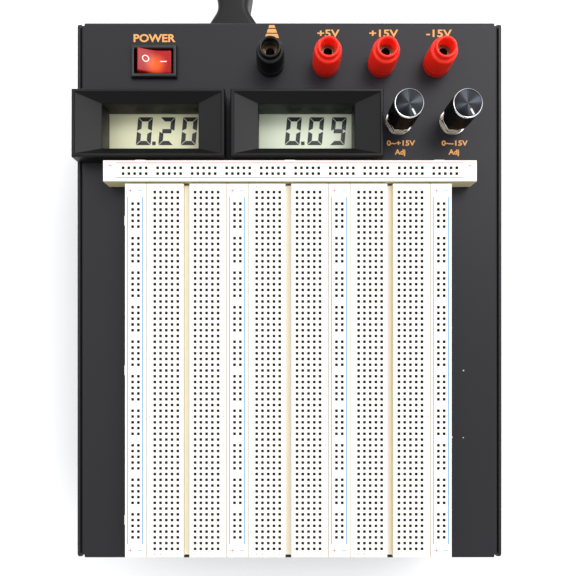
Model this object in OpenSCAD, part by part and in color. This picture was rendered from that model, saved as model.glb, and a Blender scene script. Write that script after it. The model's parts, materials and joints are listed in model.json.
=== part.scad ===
// Bench power supply with a built-in solderless breadboard panel.
// The origin is at the middle of the footprint, on the surface the feet stand on.
// +X is the operator's right, +Y points to the rear wall and +Z points up.

/* [Case] */
// Width across the tray's side walls
case_w = 195; // [190:1:260]
// Depth from the front wall to the rear wall
case_d = 247; // [245:1:320]
// Height from the tray's underside to the control panel
case_h = 62; // [58:1:90]
// Thickness of the sheet steel
sheet_t = 1.2; // [0.8:0.1:2]
// Inside radius of the folds
fold_r = 0.8; // [0.5:0.1:2]
// Gap between the tray's walls and the cover's flanges
wall_fit = 0.1; // [0.05:0.05:0.5]
// Depth of the folded flanges and lips that hold cover and tray together
flange_h = 14; // [10:1:24]
// Height of the rubber feet
foot_h = 7; // [5:0.5:14]
// Diameter of the rubber feet where they meet the tray
foot_d = 16; // [12:1:24]
// Distance of a foot's centre from the case's edges
foot_inset = 18; // [14:1:40]

/* [Solderless boards] */
// Distance between tie points
pitch = 2.54; // [2:0.01:2.6]
// Number of rows on a terminal strip
row_count = 63; // [30:1:63]
// Length of every board
board_l = 165.1; // [164:0.1:168]
// Height of a board above its tape
board_h = 8.5; // [8:0.1:12]
// Width of a terminal strip's share of the block
terminal_w = 35.5; // [34:0.1:38]
// Width of a bus strip's share of the block
bus_w = 9.5; // [8:0.1:11]
// Gap left on each long side of a board
board_fit = 0.1; // [0.05:0.05:0.3]
// Thickness of the foam tape under the boards
tape_t = 0.6; // [0.4:0.1:2]
// How far a board's side tabs stand out
tab_d = 0.8; // [0.5:0.1:0.9]
// Distance from the rear wall to the middle of the rear bus strip
rear_strip_inset = 71.6; // [70:0.1:80]

/* [Panel meters] */
// Width of a meter's bezel
bezel_w = 68; // [66:0.5:72]
// Depth of a meter's bezel, front to back
bezel_d = 30.3; // [29:0.1:32]
// Height of a bezel above the panel
bezel_h = 8.6; // [6:0.1:12]
// Gap between the two bezels
bezel_gap = 2.5; // [1:0.1:6]
// Width of the display window
window_w = 43.5; // [40:0.5:46]
// Depth of the display window, front to back
window_d = 20; // [16:0.5:21]
// Depth of the sloping funnel around the window
funnel_h = 4; // [2:0.5:6]
// Distance from the rear wall to the meters' middle line
meter_inset = 50; // [49:0.5:52]

/* [Power switch] */
// Length of the switch's bezel, across the panel
switch_l = 21; // [20:0.5:24]
// Width of the switch's bezel, front to back
switch_w = 15; // [14.5:0.5:18]
// Angle between the rocker's two positions
rocker_swing = 20; // [15:1:26]
// Clearance around the rocker
rocker_fit = 0.35; // [0.3:0.05:0.6]

/* [Binding posts] */
// Distance between neighbouring posts
post_pitch = 25.4; // [19:0.1:30]
// Outer diameter of a post's cap
post_d = 12.6; // [11.6:0.1:15]
// Height of a post above the panel
post_h = 14; // [13.5:0.5:18]
// Diameter of the plug socket inside a post
socket_d = 4; // [3.8:0.1:4.2]
// Outer diameter of the threaded stud
stud_d = 6; // [5.8:0.1:6.4]
// Running clearance between stud, insert and cap, on the radius
thread_fit = 0.06; // [0.02:0.01:0.1]
// Distance from the rear wall to the row of posts
post_inset = 19.5; // [16:0.5:22]

/* [Voltage knobs] */
// Diameter of a knob
knob_d = 12.8; // [11:0.1:16]
// Height of a knob's top above the panel
knob_top = 19; // [17:0.5:24]
// Distance between the knobs
knob_pitch = 24.7; // [20:0.1:34]
// Diameter of a potentiometer's shaft
shaft_d = 6; // [4:0.1:6.2]
// Distance from the rear wall to the knobs
knob_inset = 46.3; // [42:0.1:50]

/* [Mains inlet and cord] */
// Thickness of the inlet's flange behind the rear wall
inlet_flange_t = 3; // [2:0.5:4]
// Place of the inlet across the rear wall
inlet_x = -28; // [-40:1:20]
// Distance of the inlet's middle below the panel
inlet_drop = 30; // [26:1:36]
// Diameter of the mains cord
cord_d = 7; // [6:0.5:7]

/* [Hidden] */
$fn = 48;
tiny = 0.01;

// Places of the case's faces
bend_out = fold_r + sheet_t;
panel_z = foot_h + case_h;
case_y = -inlet_flange_t / 2;
front_y = case_y - case_d / 2;
rear_y = case_y + case_d / 2;
tray_top = foot_h + sheet_t;
cover_w = case_w - 2 * (sheet_t + wall_fit);
wall_drop = 0.3;
cover_lift = 0.5;
wall_corner_r = 3;
lip_fit = 0.3;

// Case screws, one pattern for both sides
screw_d = 3;
screw_fit = 0.1;
case_screw_z = panel_z - flange_h * 0.6;
case_screw_ys = [front_y + 25, case_y, rear_y - 25];
foot_xs = [-case_w / 2 + foot_inset, case_w / 2 - foot_inset];
foot_ys = [front_y + foot_inset, rear_y - foot_inset];
foot_recess_h = foot_h * 0.55;

// Boards: three terminal strips between four bus strips, and one bus strip across the rear
board_pitch = terminal_w + bus_w;
board_x = -0.7;
board_z = panel_z + tape_t;
rear_strip_y = rear_y - rear_strip_inset;
strip_gap = 0.9;
block_y = rear_strip_y - bus_w / 2 - strip_gap - board_l / 2;
half_centre = 3.5 * pitch;
groove_w = 2.6;
groove_h = 3.2;
pocket_h = board_h - 2.3;
clip_l = 4 * pitch + 2.3;
clip_t = 0.25;
clip_w = pitch * 0.62;
clip_h = pocket_h - 1;
bus_clip_l = 150;
bus_clip_w = pitch * 0.6;
tab_pitch = 66.6;
tab_l = 4.4;
tab_low = 1.5;
tab_high = board_h - 2;

// Meters: the left bezel starts at the case's left edge
meter_y = rear_y - meter_inset;
left_meter_x = -case_w / 2 + 0.6 + bezel_w / 2;
right_meter_x = left_meter_x + bezel_w + bezel_gap;
rim_t = 1.4;
sleeve_w = window_w + 13.5;
sleeve_d = window_d + 7.5;
sleeve_h = 12.5;
lcd_w = window_w + 5.5;
lcd_d = window_d + 4.5;
lcd_t = 2;
lens_t = 1.2;
pocket_roof = -5.8;
part_gap = 0.1;
meter_board_t = 1.6;

// Switch: the pivot sits below the bezel, and the rocker rests with its right side pressed
switch_x = -62;
switch_y = rear_y - 19;
switch_bezel_h = 2;
pivot_z = panel_z - 0.5;
rocker_half = 7.6;
rocker_top = 3;
rocker_dip = 1.8;
rocker_bottom = 4;
rocker_well_l = 17.8;
rocker_well_w = switch_w - 3.8;
rocker_w = rocker_well_w - 2 * rocker_fit;
housing_l = 19;
housing_w = rocker_well_w + 1.6;
housing_h = 15;
trunnion_r = 1.2;
trunnion_fit = 0.05;
terminal_l = 8;
terminal_step = 6;

// Posts: heights are measured from the panel
post_xs = [for (i = [0:3]) -8.7 + i * post_pitch];
post_y = rear_y - post_inset;
collar_h = 3;
collar_gap = 0.3;
cap_low = collar_h + collar_gap;
shoulder_h = 2.3;
shoulder_d = post_d - 3;
cap_draft = 0.5;
cap_chamfer = 0.8;
insert_h = 4;
insert_z = 4.5;
insert_r = stud_d / 2 + 1.3;
stud_top = post_h - 5;
stud_stem_r = 2;
stud_low = -16;
socket_h = 10;
cap_bore_d = stud_d + 1;
spigot_r = stud_d / 2 + 1.2;
spigot_h = 3;
nut_fit = 0.05;
post_washer_t = 1;
post_nut_h = 3.2;
post_nut_d = 8.4;

// Knobs and potentiometers
plus_knob_x = 50.1;
knob_xs = [plus_knob_x, plus_knob_x + knob_pitch];
knob_y = rear_y - knob_inset;
knob_low = 5.6;
knob_cap_t = 0.8;
pot_bushing_r = shaft_d / 2 + 0.6;
pot_bushing_h = 5;
shaft_fit = 0.05;
pot_washer_t = 0.7;
pot_nut_h = 2;

// Mains inlet
inlet_z = panel_z - inlet_drop;
inlet_l = 50;
inlet_w = 23;
inlet_socket_l = 24.6;
inlet_socket_w = 16.4;
inlet_depth = 16;
inlet_wall = 1.6;
inlet_screw_pitch = 40;
plug_fit = 0.3;

// Mains connector, measured backwards from its front face
connector_y = rear_y + inlet_flange_t + 0.5;
connector_h = 19;
connector_half = [[0, 13.5], [6, 13.5], [9, 12.6], [13, 10.2], [16, 8.3], [19, 7.7],
                  [24, 8.4], [30, 9.4], [36, 9], [40, 7], [42, 5]];
connector_l = 42;
relief_l = 24;
relief_r = cord_d / 2 + 1.5;

// Cord route from the strain relief down to the floor and into the coil
cord_r = cord_d / 2;
cord_start = [inlet_x, connector_y + connector_l + relief_l, inlet_z];
cord_drop = inlet_z - cord_r;
cord_steps = [[0, 0], [6, 0], [13, 0.02], [20, 0.09], [26, 0.2], [31, 0.34], [34.6, 0.5],
              [38.2, 0.66], [43.2, 0.8], [49.2, 0.91], [56.2, 0.98], [63, 1]];
cord_run = 63;
cord_points = [for (s = cord_steps)
    [inlet_x, cord_start[1] + s[0], inlet_z - s[1] * cord_drop]];
coil_turn_r = 35.5;
coil_columns = 3;
coil_layers = 2;
coil_outer_turn_r = coil_turn_r + cord_d;
coil_in_r = coil_turn_r - coil_columns * cord_d / 2;
coil_out_r = coil_turn_r + coil_columns * cord_d / 2;
coil_lead = sqrt(coil_out_r * coil_out_r - coil_outer_turn_r * coil_outer_turn_r);
coil_x = inlet_x + coil_outer_turn_r;
coil_y = cord_start[1] + cord_run + coil_lead;
tie_t = 0.8;
tie_w = 6;
tie_angle = -60;
coil_h = coil_layers * cord_d + tie_t;

// Plug at the cord's far end, beside the coil
plug_l = 34;
plug_w = 26;
plug_h = 22;
plug_relief_l = 24;
plug_blade = [17, 1.5, 6.4];
plug_blade_step = 6.35;
plug_pin_r = 2.4;
plug_pin_up = 6;
plug_pin_l = 20;
plug_x = coil_x + coil_lead;
plug_y = coil_y + coil_outer_turn_r;
plug_z = plug_h / 2;

// Inside: transformer on the left, supply board on the right
core_w = 66;
core_h = case_h - 10;
core_d = 26;
leg_w = 11;
core_x = -44;
core_y = case_y - 30;
winding_t = 9.6;
winding_gap = 0.3;
core_foot_w = 14;
core_foot_t = 2;
pcb_w = 84;
pcb_d = 96;
pcb_t = 1.6;
pcb_x = 44;
pcb_y = case_y - 34;
standoff_h = 8;
pcb_z = tray_top + standoff_h;
pcb_hole_inset = 5;
wire_r = 0.8;
secondary_z = tray_top + 22;

// Points along an arc, for the folds in the sheet
function arc(x, y, r, from, to, steps = 6) =
    [for (i = [0:steps]) let (a = from + (to - from) * i / steps) [x + r * cos(a), y + r * sin(a)]];

// Ring of points around a tube's centre line
function unit(v) = v / norm(v);
function tangent(p, i) = unit(p[min(i + 1, len(p) - 1)] - p[max(i - 1, 0)]);
function ring(p, i, r, sides) =
    let (t = tangent(p, i), side = unit(cross(t, [1, 0, 0.001])), up = cross(side, t))
    [for (k = [0:sides - 1]) p[i] + r * (cos(360 * k / sides) * side + sin(360 * k / sides) * up)];

// A U of folded sheet that opens downwards, with its web at the top
module fold_u(width, leg) {
    polygon(concat(
        [[-width / 2, -leg]],
        arc(-width / 2 + bend_out, -bend_out, bend_out, 180, 90),
        arc(width / 2 - bend_out, -bend_out, bend_out, 90, 0),
        [[width / 2, -leg], [width / 2 - sheet_t, -leg]],
        arc(width / 2 - bend_out, -bend_out, fold_r, 0, 90),
        arc(-width / 2 + bend_out, -bend_out, fold_r, 90, 180),
        [[-width / 2 + sheet_t, -leg]]));
}

// Extrudes a profile along X: its first axis runs along Y and its second along Z
module along_x(length) {
    rotate([90, 0, 90])
        translate([0, 0, -length / 2])
            linear_extrude(length) children();
}

// Extrudes a profile along Y: its first axis runs along X and its second along Z
module along_y(length) {
    rotate([90, 0, 0])
        translate([0, 0, -length / 2])
            linear_extrude(length) children();
}

// A box that is centred in X and Y and stands on z = 0
module block(w, d, h) {
    translate([-w / 2, -d / 2, 0]) cube([w, d, h]);
}

// A pan-head screw that points down from the underside of its head
module pan_screw(d, length) {
    difference() {
        union() {
            translate([0, 0, -length]) cylinder(d = d, h = length + tiny);
            cylinder(d = d * 1.9, h = d * 0.35);
            translate([0, 0, d * 0.35 - tiny]) cylinder(d1 = d * 1.9, d2 = d * 1.3, h = d * 0.25);
        }
        for (a = [0, 90])
            rotate(a) translate([-d * 0.5, -d * 0.12, d * 0.25]) cube([d, d * 0.24, d]);
    }
}

// ---- Case ----

module base_tray() {
    color("#26262b")
    difference() {
        union() {
            translate([0, case_y, foot_h])
                mirror([0, 0, 1]) along_y(case_d) fold_u(case_w, case_h - wall_drop);
            translate([0, case_y, foot_h])
                mirror([0, 0, 1])
                    along_x(case_w - 2 * bend_out)
                        fold_u(case_d - 2 * (sheet_t + lip_fit), flange_h);
            for (x = [-1, 1], y = [-1, 1])
                translate([pcb_x + x * (pcb_w / 2 - pcb_hole_inset),
                           pcb_y + y * (pcb_d / 2 - pcb_hole_inset), tray_top - tiny])
                    cylinder(r = 3, h = standoff_h + tiny);
        }
        // Rounded top corners of the side walls
        for (end = [-1, 1])
            translate([0, case_y + end * (case_d / 2 - wall_corner_r), panel_z - wall_drop - wall_corner_r])
                difference() {
                    translate([-case_w, min(0, end * 2 * wall_corner_r), 0])
                        cube([2 * case_w, 2 * wall_corner_r, 2 * wall_corner_r]);
                    rotate([0, 90, 0]) cylinder(r = wall_corner_r, h = 3 * case_w, center = true);
                }
        for (y = case_screw_ys)
            translate([0, y, case_screw_z]) rotate([0, 90, 0])
                cylinder(d = screw_d + 2 * screw_fit, h = 2 * case_w, center = true);
        for (x = foot_xs, y = foot_ys)
            translate([x, y, foot_h - 1]) cylinder(d = screw_d + 2 * screw_fit, h = sheet_t + 2);
        for (x = [-1, 1], y = [-1, 1])
            translate([pcb_x + x * (pcb_w / 2 - pcb_hole_inset),
                       pcb_y + y * (pcb_d / 2 - pcb_hole_inset), foot_h - 1])
                cylinder(r = 1.3, h = sheet_t + standoff_h + 2);
        for (side = [-1, 1])
            translate([core_x + side * (core_w / 2 + core_foot_w / 2), core_y, foot_h - 1])
                cylinder(r = 2.1, h = sheet_t + 2);
        // Air slots under the transformer and the board
        for (i = [0:7], x = [core_x, pcb_x])
            translate([x, front_y + 22 + i * 6, foot_h - 1]) block(44, 2.4, sheet_t + 2);
    }
}

module top_cover() {
    color("#3c3b42")
    difference() {
        translate([0, case_y, panel_z]) {
            along_x(cover_w - 2 * bend_out) fold_u(case_d, case_h - sheet_t - cover_lift);
            along_y(case_d - 2 * bend_out) fold_u(cover_w, flange_h);
        }
        for (y = case_screw_ys)
            translate([0, y, case_screw_z]) rotate([0, 90, 0])
                cylinder(d = screw_d + 2 * screw_fit, h = 2 * case_w, center = true);
        for (x = [left_meter_x, right_meter_x])
            translate([x, meter_y, panel_z - sheet_t - 1])
                block(sleeve_w + 2 * part_gap, sleeve_d + 2 * part_gap, sheet_t + 2);
        translate([switch_x, switch_y, panel_z - sheet_t - 1])
            block(housing_l + 2 * part_gap, housing_w + 2 * part_gap, sheet_t + 2);
        for (x = post_xs)
            translate([x, post_y, panel_z - sheet_t - 1])
                cylinder(r = spigot_r + part_gap, h = sheet_t + 2);
        for (x = knob_xs)
            translate([x, knob_y, panel_z - sheet_t - 1])
                cylinder(r = pot_bushing_r + part_gap, h = sheet_t + 2);
        translate([inlet_x, rear_y, inlet_z])
            along_y(4 * sheet_t)
                square([inlet_socket_l + 2 * (inlet_wall + part_gap),
                        inlet_socket_w + 2 * (inlet_wall + part_gap)], center = true);
        for (side = [-1, 1])
            translate([inlet_x + side * inlet_screw_pitch / 2, rear_y, inlet_z])
                rotate([90, 0, 0])
                    cylinder(d = screw_d + 2 * screw_fit, h = 4 * sheet_t, center = true);
    }
}

module case_screws() {
    color("#1d1d20")
    for (side = [-1, 1], y = case_screw_ys)
        translate([side * case_w / 2, y, case_screw_z])
            rotate([0, side * 90, 0]) pan_screw(screw_d, 6);
}

module rubber_feet() {
    color("#1a1a1c")
    for (x = foot_xs, y = foot_ys)
        translate([x, y, 0])
            difference() {
                cylinder(d1 = foot_d - 2, d2 = foot_d, h = foot_h);
                translate([0, 0, -1]) cylinder(d = screw_d + 2 * screw_fit, h = foot_h + 2);
                translate([0, 0, -1]) cylinder(d = screw_d * 2.4, h = foot_recess_h + 1);
            }
}

module foot_screws() {
    color("#b9bcc0")
    for (x = foot_xs, y = foot_ys)
        translate([x, y, foot_recess_h])
            rotate([180, 0, 0]) pan_screw(screw_d, foot_h - foot_recess_h + sheet_t + 3);
}

// ---- Solderless boards ----

// Outer shape of a board: tabs along its left side and sockets for them along its right side
module board_body(width) {
    w = width - 2 * board_fit;
    difference() {
        union() {
            block(w, board_l, board_h);
            for (y = [-tab_pitch, 0, tab_pitch])
                translate([-w / 2 - tab_d, y - tab_l / 2, tab_low])
                    cube([tab_d + tiny, tab_l, tab_high - tab_low]);
        }
        for (y = [-tab_pitch, 0, tab_pitch])
            translate([w / 2 - tab_d, y - tab_l / 2 - 0.2, tab_low - 0.2])
                cube([tab_d + 1, tab_l + 0.4, tab_high - tab_low + 0.4]);
    }
}

module terminal_strip() {
    color("#eee9e1")
    difference() {
        board_body(terminal_w);
        translate([0, 0, board_h - groove_h]) block(groove_w, board_l + 2, groove_h + 1);
        for (side = [-1, 1])
            translate([side * half_centre, 0, -1])
                block(clip_l + 0.5, row_count * pitch + 0.4, pocket_h + 1);
    }
}

module bus_strip() {
    color("#eee9e1")
    difference() {
        board_body(bus_w);
        for (side = [-1, 1])
            translate([side * pitch / 2, 0, -1])
                block(bus_clip_w + 0.3, bus_clip_l + 2, pocket_h + 1);
    }
}

module place_terminal(i) {
    translate([board_x + (i - 1) * board_pitch, block_y, board_z]) children();
}

module place_bus(i) {
    translate([board_x + (i - 1.5) * board_pitch, block_y, board_z]) children();
}

module place_rear_bus() {
    translate([0, rear_strip_y, board_z]) rotate(-90) children();
}

module terminal_strip_left() {
    place_terminal(0) terminal_strip();
}

module terminal_strip_middle() {
    place_terminal(1) terminal_strip();
}

module terminal_strip_right() {
    place_terminal(2) terminal_strip();
}

module bus_strip_left() {
    place_bus(0) bus_strip();
}

module bus_strip_inner_left() {
    place_bus(1) bus_strip();
}

module bus_strip_inner_right() {
    place_bus(2) bus_strip();
}

module bus_strip_right() {
    place_bus(3) bus_strip();
}

module bus_strip_rear() {
    place_rear_bus() bus_strip();
}

module tape_pad(width) {
    translate([0, 0, -tape_t]) block(width - 1, board_l - 1, tape_t);
}

module backing_tape() {
    color("#f4f2ea") {
        for (i = [0:2]) place_terminal(i) tape_pad(terminal_w);
        for (i = [0:3]) place_bus(i) tape_pad(bus_w);
        place_rear_bus() tape_pad(bus_w);
    }
}

// Spring strip folded into a channel, which grips the wires pushed between its two leaves
module clip_profile(width) {
    polygon([[-width / 2, 0], [width / 2, 0], [width / 2, clip_h], [width / 2 - clip_t, clip_h],
             [width / 2 - clip_t, clip_t], [-width / 2 + clip_t, clip_t],
             [-width / 2 + clip_t, clip_h], [-width / 2, clip_h]]);
}

module terminal_clips() {
    for (side = [-1, 1], row = [0:row_count - 1])
        translate([side * half_centre, (row - (row_count - 1) / 2) * pitch, 0.2])
            along_x(clip_l) clip_profile(clip_w);
}

module bus_clips() {
    for (side = [-1, 1])
        translate([side * pitch / 2, 0, 0.2]) along_y(bus_clip_l) clip_profile(bus_clip_w);
}

module contact_clips() {
    color("#c9c6bd") {
        for (i = [0:2]) place_terminal(i) terminal_clips();
        for (i = [0:3]) place_bus(i) bus_clips();
        place_rear_bus() bus_clips();
    }
}

// ---- Panel meters ----

// A box whose top and bottom differ in size
module frustum(w0, d0, w1, d1, h) {
    polyhedron(
        points = [[-w0 / 2, -d0 / 2, 0], [w0 / 2, -d0 / 2, 0], [w0 / 2, d0 / 2, 0], [-w0 / 2, d0 / 2, 0],
                  [-w1 / 2, -d1 / 2, h], [w1 / 2, -d1 / 2, h], [w1 / 2, d1 / 2, h], [-w1 / 2, d1 / 2, h]],
        faces = [[0, 1, 2, 3], [7, 6, 5, 4], [4, 5, 1, 0], [5, 6, 2, 1], [6, 7, 3, 2], [7, 4, 0, 3]]);
}

module meter_bezel() {
    mouth_w = bezel_w - 2 * rim_t;
    mouth_d = bezel_d - 2 * rim_t;
    color("#2b2b30")
    difference() {
        union() {
            block(bezel_w, bezel_d, bezel_h);
            translate([0, 0, -sleeve_h]) block(sleeve_w, sleeve_d, sleeve_h + tiny);
        }
        translate([0, 0, bezel_h - funnel_h])
            frustum(window_w, window_d, mouth_w, mouth_d, funnel_h + tiny);
        translate([0, 0, pocket_roof - 1]) block(window_w, window_d, bezel_h + 2);
        translate([0, 0, -sleeve_h - 1])
            block(lcd_w + 2 * part_gap, lcd_d + 2 * part_gap, sleeve_h + 1 + pocket_roof);
        for (side = [-1, 1])
            translate([side * (sleeve_w + lcd_w) / 4, 0, -sleeve_h - 1]) cylinder(r = 0.8, h = 6);
    }
}

module at_meters() {
    for (x = [left_meter_x, right_meter_x]) translate([x, meter_y, panel_z]) children();
}

module left_meter_bezel() {
    translate([left_meter_x, meter_y, panel_z]) meter_bezel();
}

module right_meter_bezel() {
    translate([right_meter_x, meter_y, panel_z]) meter_bezel();
}

module meter_lenses() {
    color("#dfe6e0", 0.4)
    at_meters() translate([0, 0, pocket_roof - lens_t]) block(lcd_w, lcd_d, lens_t);
}

module meter_displays() {
    color("#c9cbaf")
    at_meters() translate([0, 0, pocket_roof - lens_t - lcd_t]) block(lcd_w, lcd_d, lcd_t);
}

// Circuit board behind each display, with the two rubber strips that connect them
module meter_boards() {
    strip_h = sleeve_h + pocket_roof - lens_t - lcd_t;
    color("#2f6b45")
    at_meters() {
        difference() {
            translate([0, 0, -sleeve_h - meter_board_t]) block(sleeve_w, sleeve_d, meter_board_t);
            for (side = [-1, 1])
                translate([side * (sleeve_w + lcd_w) / 4, 0, -sleeve_h - 3]) cylinder(r = 1.1, h = 6);
        }
        for (side = [-1, 1])
            translate([0, side * (lcd_d / 2 - 1.5), -sleeve_h]) block(lcd_w - 4, 2, strip_h);
    }
}

// ---- Power switch ----

module at_pivot() {
    translate([switch_x, switch_y, pivot_z]) children();
}

module switch_housing() {
    well_floor = -housing_h + 2;
    color("#202024")
    translate([switch_x, switch_y, panel_z])
        difference() {
            union() {
                block(switch_l, switch_w, switch_bezel_h);
                translate([0, 0, -housing_h]) block(housing_l, housing_w, housing_h + tiny);
            }
            translate([0, 0, well_floor])
                block(rocker_well_l, rocker_well_w, housing_h + switch_bezel_h);
            translate([0, 0, pivot_z - panel_z]) rotate([90, 0, 0])
                cylinder(r = trunnion_r + trunnion_fit, h = 2 * switch_w, center = true);
        }
}

module power_rocker() {
    color("#d11f1f")
    at_pivot()
        rotate([0, rocker_swing / 2, 0]) {
            along_y(rocker_w)
                polygon([[-rocker_half, rocker_top], [0, rocker_dip], [rocker_half, rocker_top],
                         [rocker_half, rocker_dip - 1], [rocker_half - 2, -rocker_bottom],
                         [-rocker_half + 2, -rocker_bottom], [-rocker_half, rocker_dip - 1]]);
            rotate([90, 0, 0]) cylinder(r = trunnion_r, h = rocker_well_w + 1, center = true);
        }
}

module switch_lamp() {
    color("#f08a2c")
    translate([switch_x, switch_y, panel_z - housing_h + 4])
        rotate([0, 90, 0]) cylinder(r = 1.6, h = 9, center = true);
}

module switch_terminals() {
    color("#c8b26a")
    for (i = [-1:1])
        translate([switch_x + i * terminal_step, switch_y, panel_z - housing_h - terminal_l])
            block(0.8, 4.8, terminal_l);
}

// ---- Binding posts ----

module at_posts() {
    for (x = post_xs) translate([x, post_y, panel_z]) children();
}

module post_bushings() {
    color("#c9281f")
    at_posts() {
        difference() {
            union() {
                cylinder(d = post_d, h = collar_h);
                translate([0, 0, -spigot_h]) cylinder(r = spigot_r, h = spigot_h + tiny);
            }
            translate([0, 0, -spigot_h - 1])
                cylinder(d = stud_d + 2 * part_gap, h = spigot_h + collar_h + 2);
        }
    }
}

module post_studs() {
    color("#c9a24a")
    at_posts()
        difference() {
            union() {
                translate([0, 0, -spigot_h]) cylinder(d = stud_d, h = spigot_h + stud_top);
                translate([0, 0, stud_low]) cylinder(r = stud_stem_r, h = -stud_low);
            }
            translate([0, 0, stud_top - socket_h]) cylinder(d = socket_d, h = socket_h + 1);
        }
}

module post_nuts() {
    color("#b9bcc0")
    at_posts() {
        difference() {
            translate([0, 0, -spigot_h - post_washer_t]) cylinder(d = post_d, h = post_washer_t);
            translate([0, 0, -spigot_h - 2]) cylinder(r = stud_stem_r + nut_fit, h = 3);
        }
        difference() {
            translate([0, 0, -spigot_h - post_washer_t - post_nut_h])
                cylinder(d = post_nut_d, h = post_nut_h, $fn = 6);
            translate([0, 0, -spigot_h - 6]) cylinder(r = stud_stem_r + nut_fit, h = 6);
        }
    }
}

module post_insert() {
    color("#c9a24a")
    translate([0, 0, insert_z])
        difference() {
            cylinder(r = insert_r, h = insert_h);
            translate([0, 0, -1]) cylinder(r = stud_d / 2 + thread_fit, h = insert_h + 2);
        }
}

module post_cap() {
    shoulder_z = post_h - shoulder_h;
    difference() {
        union() {
            translate([0, 0, cap_low])
                cylinder(d1 = post_d, d2 = post_d - cap_draft, h = shoulder_z - cap_low - cap_chamfer);
            translate([0, 0, shoulder_z - cap_chamfer - tiny])
                cylinder(d1 = post_d - cap_draft, d2 = post_d - cap_draft - 2 * cap_chamfer,
                         h = cap_chamfer + tiny);
            translate([0, 0, shoulder_z - tiny]) cylinder(d = shoulder_d, h = shoulder_h + tiny);
        }
        translate([0, 0, cap_low - 1])
            cylinder(r = insert_r + thread_fit, h = insert_z + insert_h + thread_fit - cap_low + 1);
        translate([0, 0, cap_low]) cylinder(d = cap_bore_d, h = post_h);
    }
}

module ground_post_cap() {
    color("#222225") translate([post_xs[0], post_y, panel_z]) post_cap();
}

module plus5_post_cap() {
    color("#f5281e") translate([post_xs[1], post_y, panel_z]) post_cap();
}

module plus15_post_cap() {
    color("#f5281e") translate([post_xs[2], post_y, panel_z]) post_cap();
}

module minus15_post_cap() {
    color("#f5281e") translate([post_xs[3], post_y, panel_z]) post_cap();
}

module ground_post_insert() {
    translate([post_xs[0], post_y, panel_z]) post_insert();
}

module plus5_post_insert() {
    translate([post_xs[1], post_y, panel_z]) post_insert();
}

module plus15_post_insert() {
    translate([post_xs[2], post_y, panel_z]) post_insert();
}

module minus15_post_insert() {
    translate([post_xs[3], post_y, panel_z]) post_insert();
}

// ---- Voltage knobs ----

module knob() {
    color("#1b1b1f")
    difference() {
        translate([0, 0, knob_low]) cylinder(d = knob_d, h = knob_top - knob_low - knob_cap_t);
        translate([0, 0, knob_low - 1])
            cylinder(d = shaft_d + 2 * shaft_fit, h = knob_top - knob_low - knob_cap_t - 1.5);
    }
}

module knob_cap() {
    color("#c8ccd2")
    translate([0, 0, knob_top - knob_cap_t]) cylinder(d = knob_d - 0.2, h = knob_cap_t);
}

module pot_shaft() {
    color("#d5d7d9")
    translate([0, 0, -sheet_t - 4]) cylinder(d = shaft_d, h = sheet_t + 4 + knob_top - knob_cap_t - 3);
}

module plus_knob() {
    translate([knob_xs[0], knob_y, panel_z]) knob();
}

module minus_knob() {
    translate([knob_xs[1], knob_y, panel_z]) knob();
}

module plus_knob_cap() {
    translate([knob_xs[0], knob_y, panel_z]) knob_cap();
}

module minus_knob_cap() {
    translate([knob_xs[1], knob_y, panel_z]) knob_cap();
}

module plus_pot_shaft() {
    translate([knob_xs[0], knob_y, panel_z]) pot_shaft();
}

module minus_pot_shaft() {
    translate([knob_xs[1], knob_y, panel_z]) pot_shaft();
}

module at_pots() {
    for (x = knob_xs) translate([x, knob_y, panel_z]) children();
}

module pot_bodies() {
    color("#b7bbc0")
    at_pots()
        difference() {
            union() {
                translate([0, 0, -sheet_t - 9]) cylinder(d = 16, h = 9);
                translate([0, 0, -sheet_t - tiny]) cylinder(r = pot_bushing_r, h = sheet_t + pot_bushing_h);
                translate([0, -11, -sheet_t - 8]) block(12, 10, 1.6);
            }
            translate([0, 0, -sheet_t - 5]) cylinder(d = shaft_d + 2 * shaft_fit, h = 30);
        }
}

module pot_washers() {
    color("#cfd2d6")
    at_pots()
        difference() {
            cylinder(d = 12.2, h = pot_washer_t);
            translate([0, 0, -1]) cylinder(r = pot_bushing_r + nut_fit, h = 3);
        }
}

module pot_nuts() {
    color("#cfd2d6")
    at_pots()
        translate([0, 0, pot_washer_t])
            difference() {
                cylinder(d = 11.5, h = pot_nut_h, $fn = 6);
                translate([0, 0, -1]) cylinder(r = pot_bushing_r + nut_fit, h = pot_nut_h + 2);
            }
}

// ---- Mains inlet ----

// Outline of the three-pin socket, with the two cut corners on the earth pin's side
module inlet_outline(grow) {
    l = inlet_socket_l / 2 + grow;
    w = inlet_socket_w / 2 + grow;
    cut = 4.5;
    polygon([[-l, -w], [l, -w], [l, w - cut], [l - cut, w], [-l + cut, w], [-l, w - cut]]);
}

module at_inlet() {
    translate([inlet_x, rear_y, inlet_z]) children();
}

module mains_inlet() {
    color("#1c1c1f")
    at_inlet()
        difference() {
            union() {
                translate([0, inlet_flange_t / 2, 0])
                    along_y(inlet_flange_t) square([inlet_l, inlet_w], center = true);
                translate([0, -inlet_depth / 2, 0]) along_y(inlet_depth) inlet_outline(inlet_wall);
            }
            translate([0, inlet_flange_t / 2, 0]) along_y(2 * inlet_depth - 4) inlet_outline(0);
            for (side = [-1, 1])
                translate([side * inlet_screw_pitch / 2, 0, 0]) rotate([-90, 0, 0]) {
                    cylinder(d = screw_d + 2 * screw_fit, h = 4 * inlet_flange_t, center = true);
                    translate([0, 0, inlet_flange_t - 1.6]) cylinder(d1 = 3.2, d2 = 6.4, h = 1.6 + tiny);
                }
        }
}

module inlet_pins() {
    pin_l = inlet_depth - 4;
    floor_y = inlet_flange_t / 2 - inlet_depth + 2;
    color("#c9a24a")
    at_inlet()
        for (p = [[-7, -2], [7, -2], [0, 3]])
            translate([p[0], floor_y + pin_l / 2, p[1]]) along_y(pin_l) square([2, 4], center = true);
}

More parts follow.
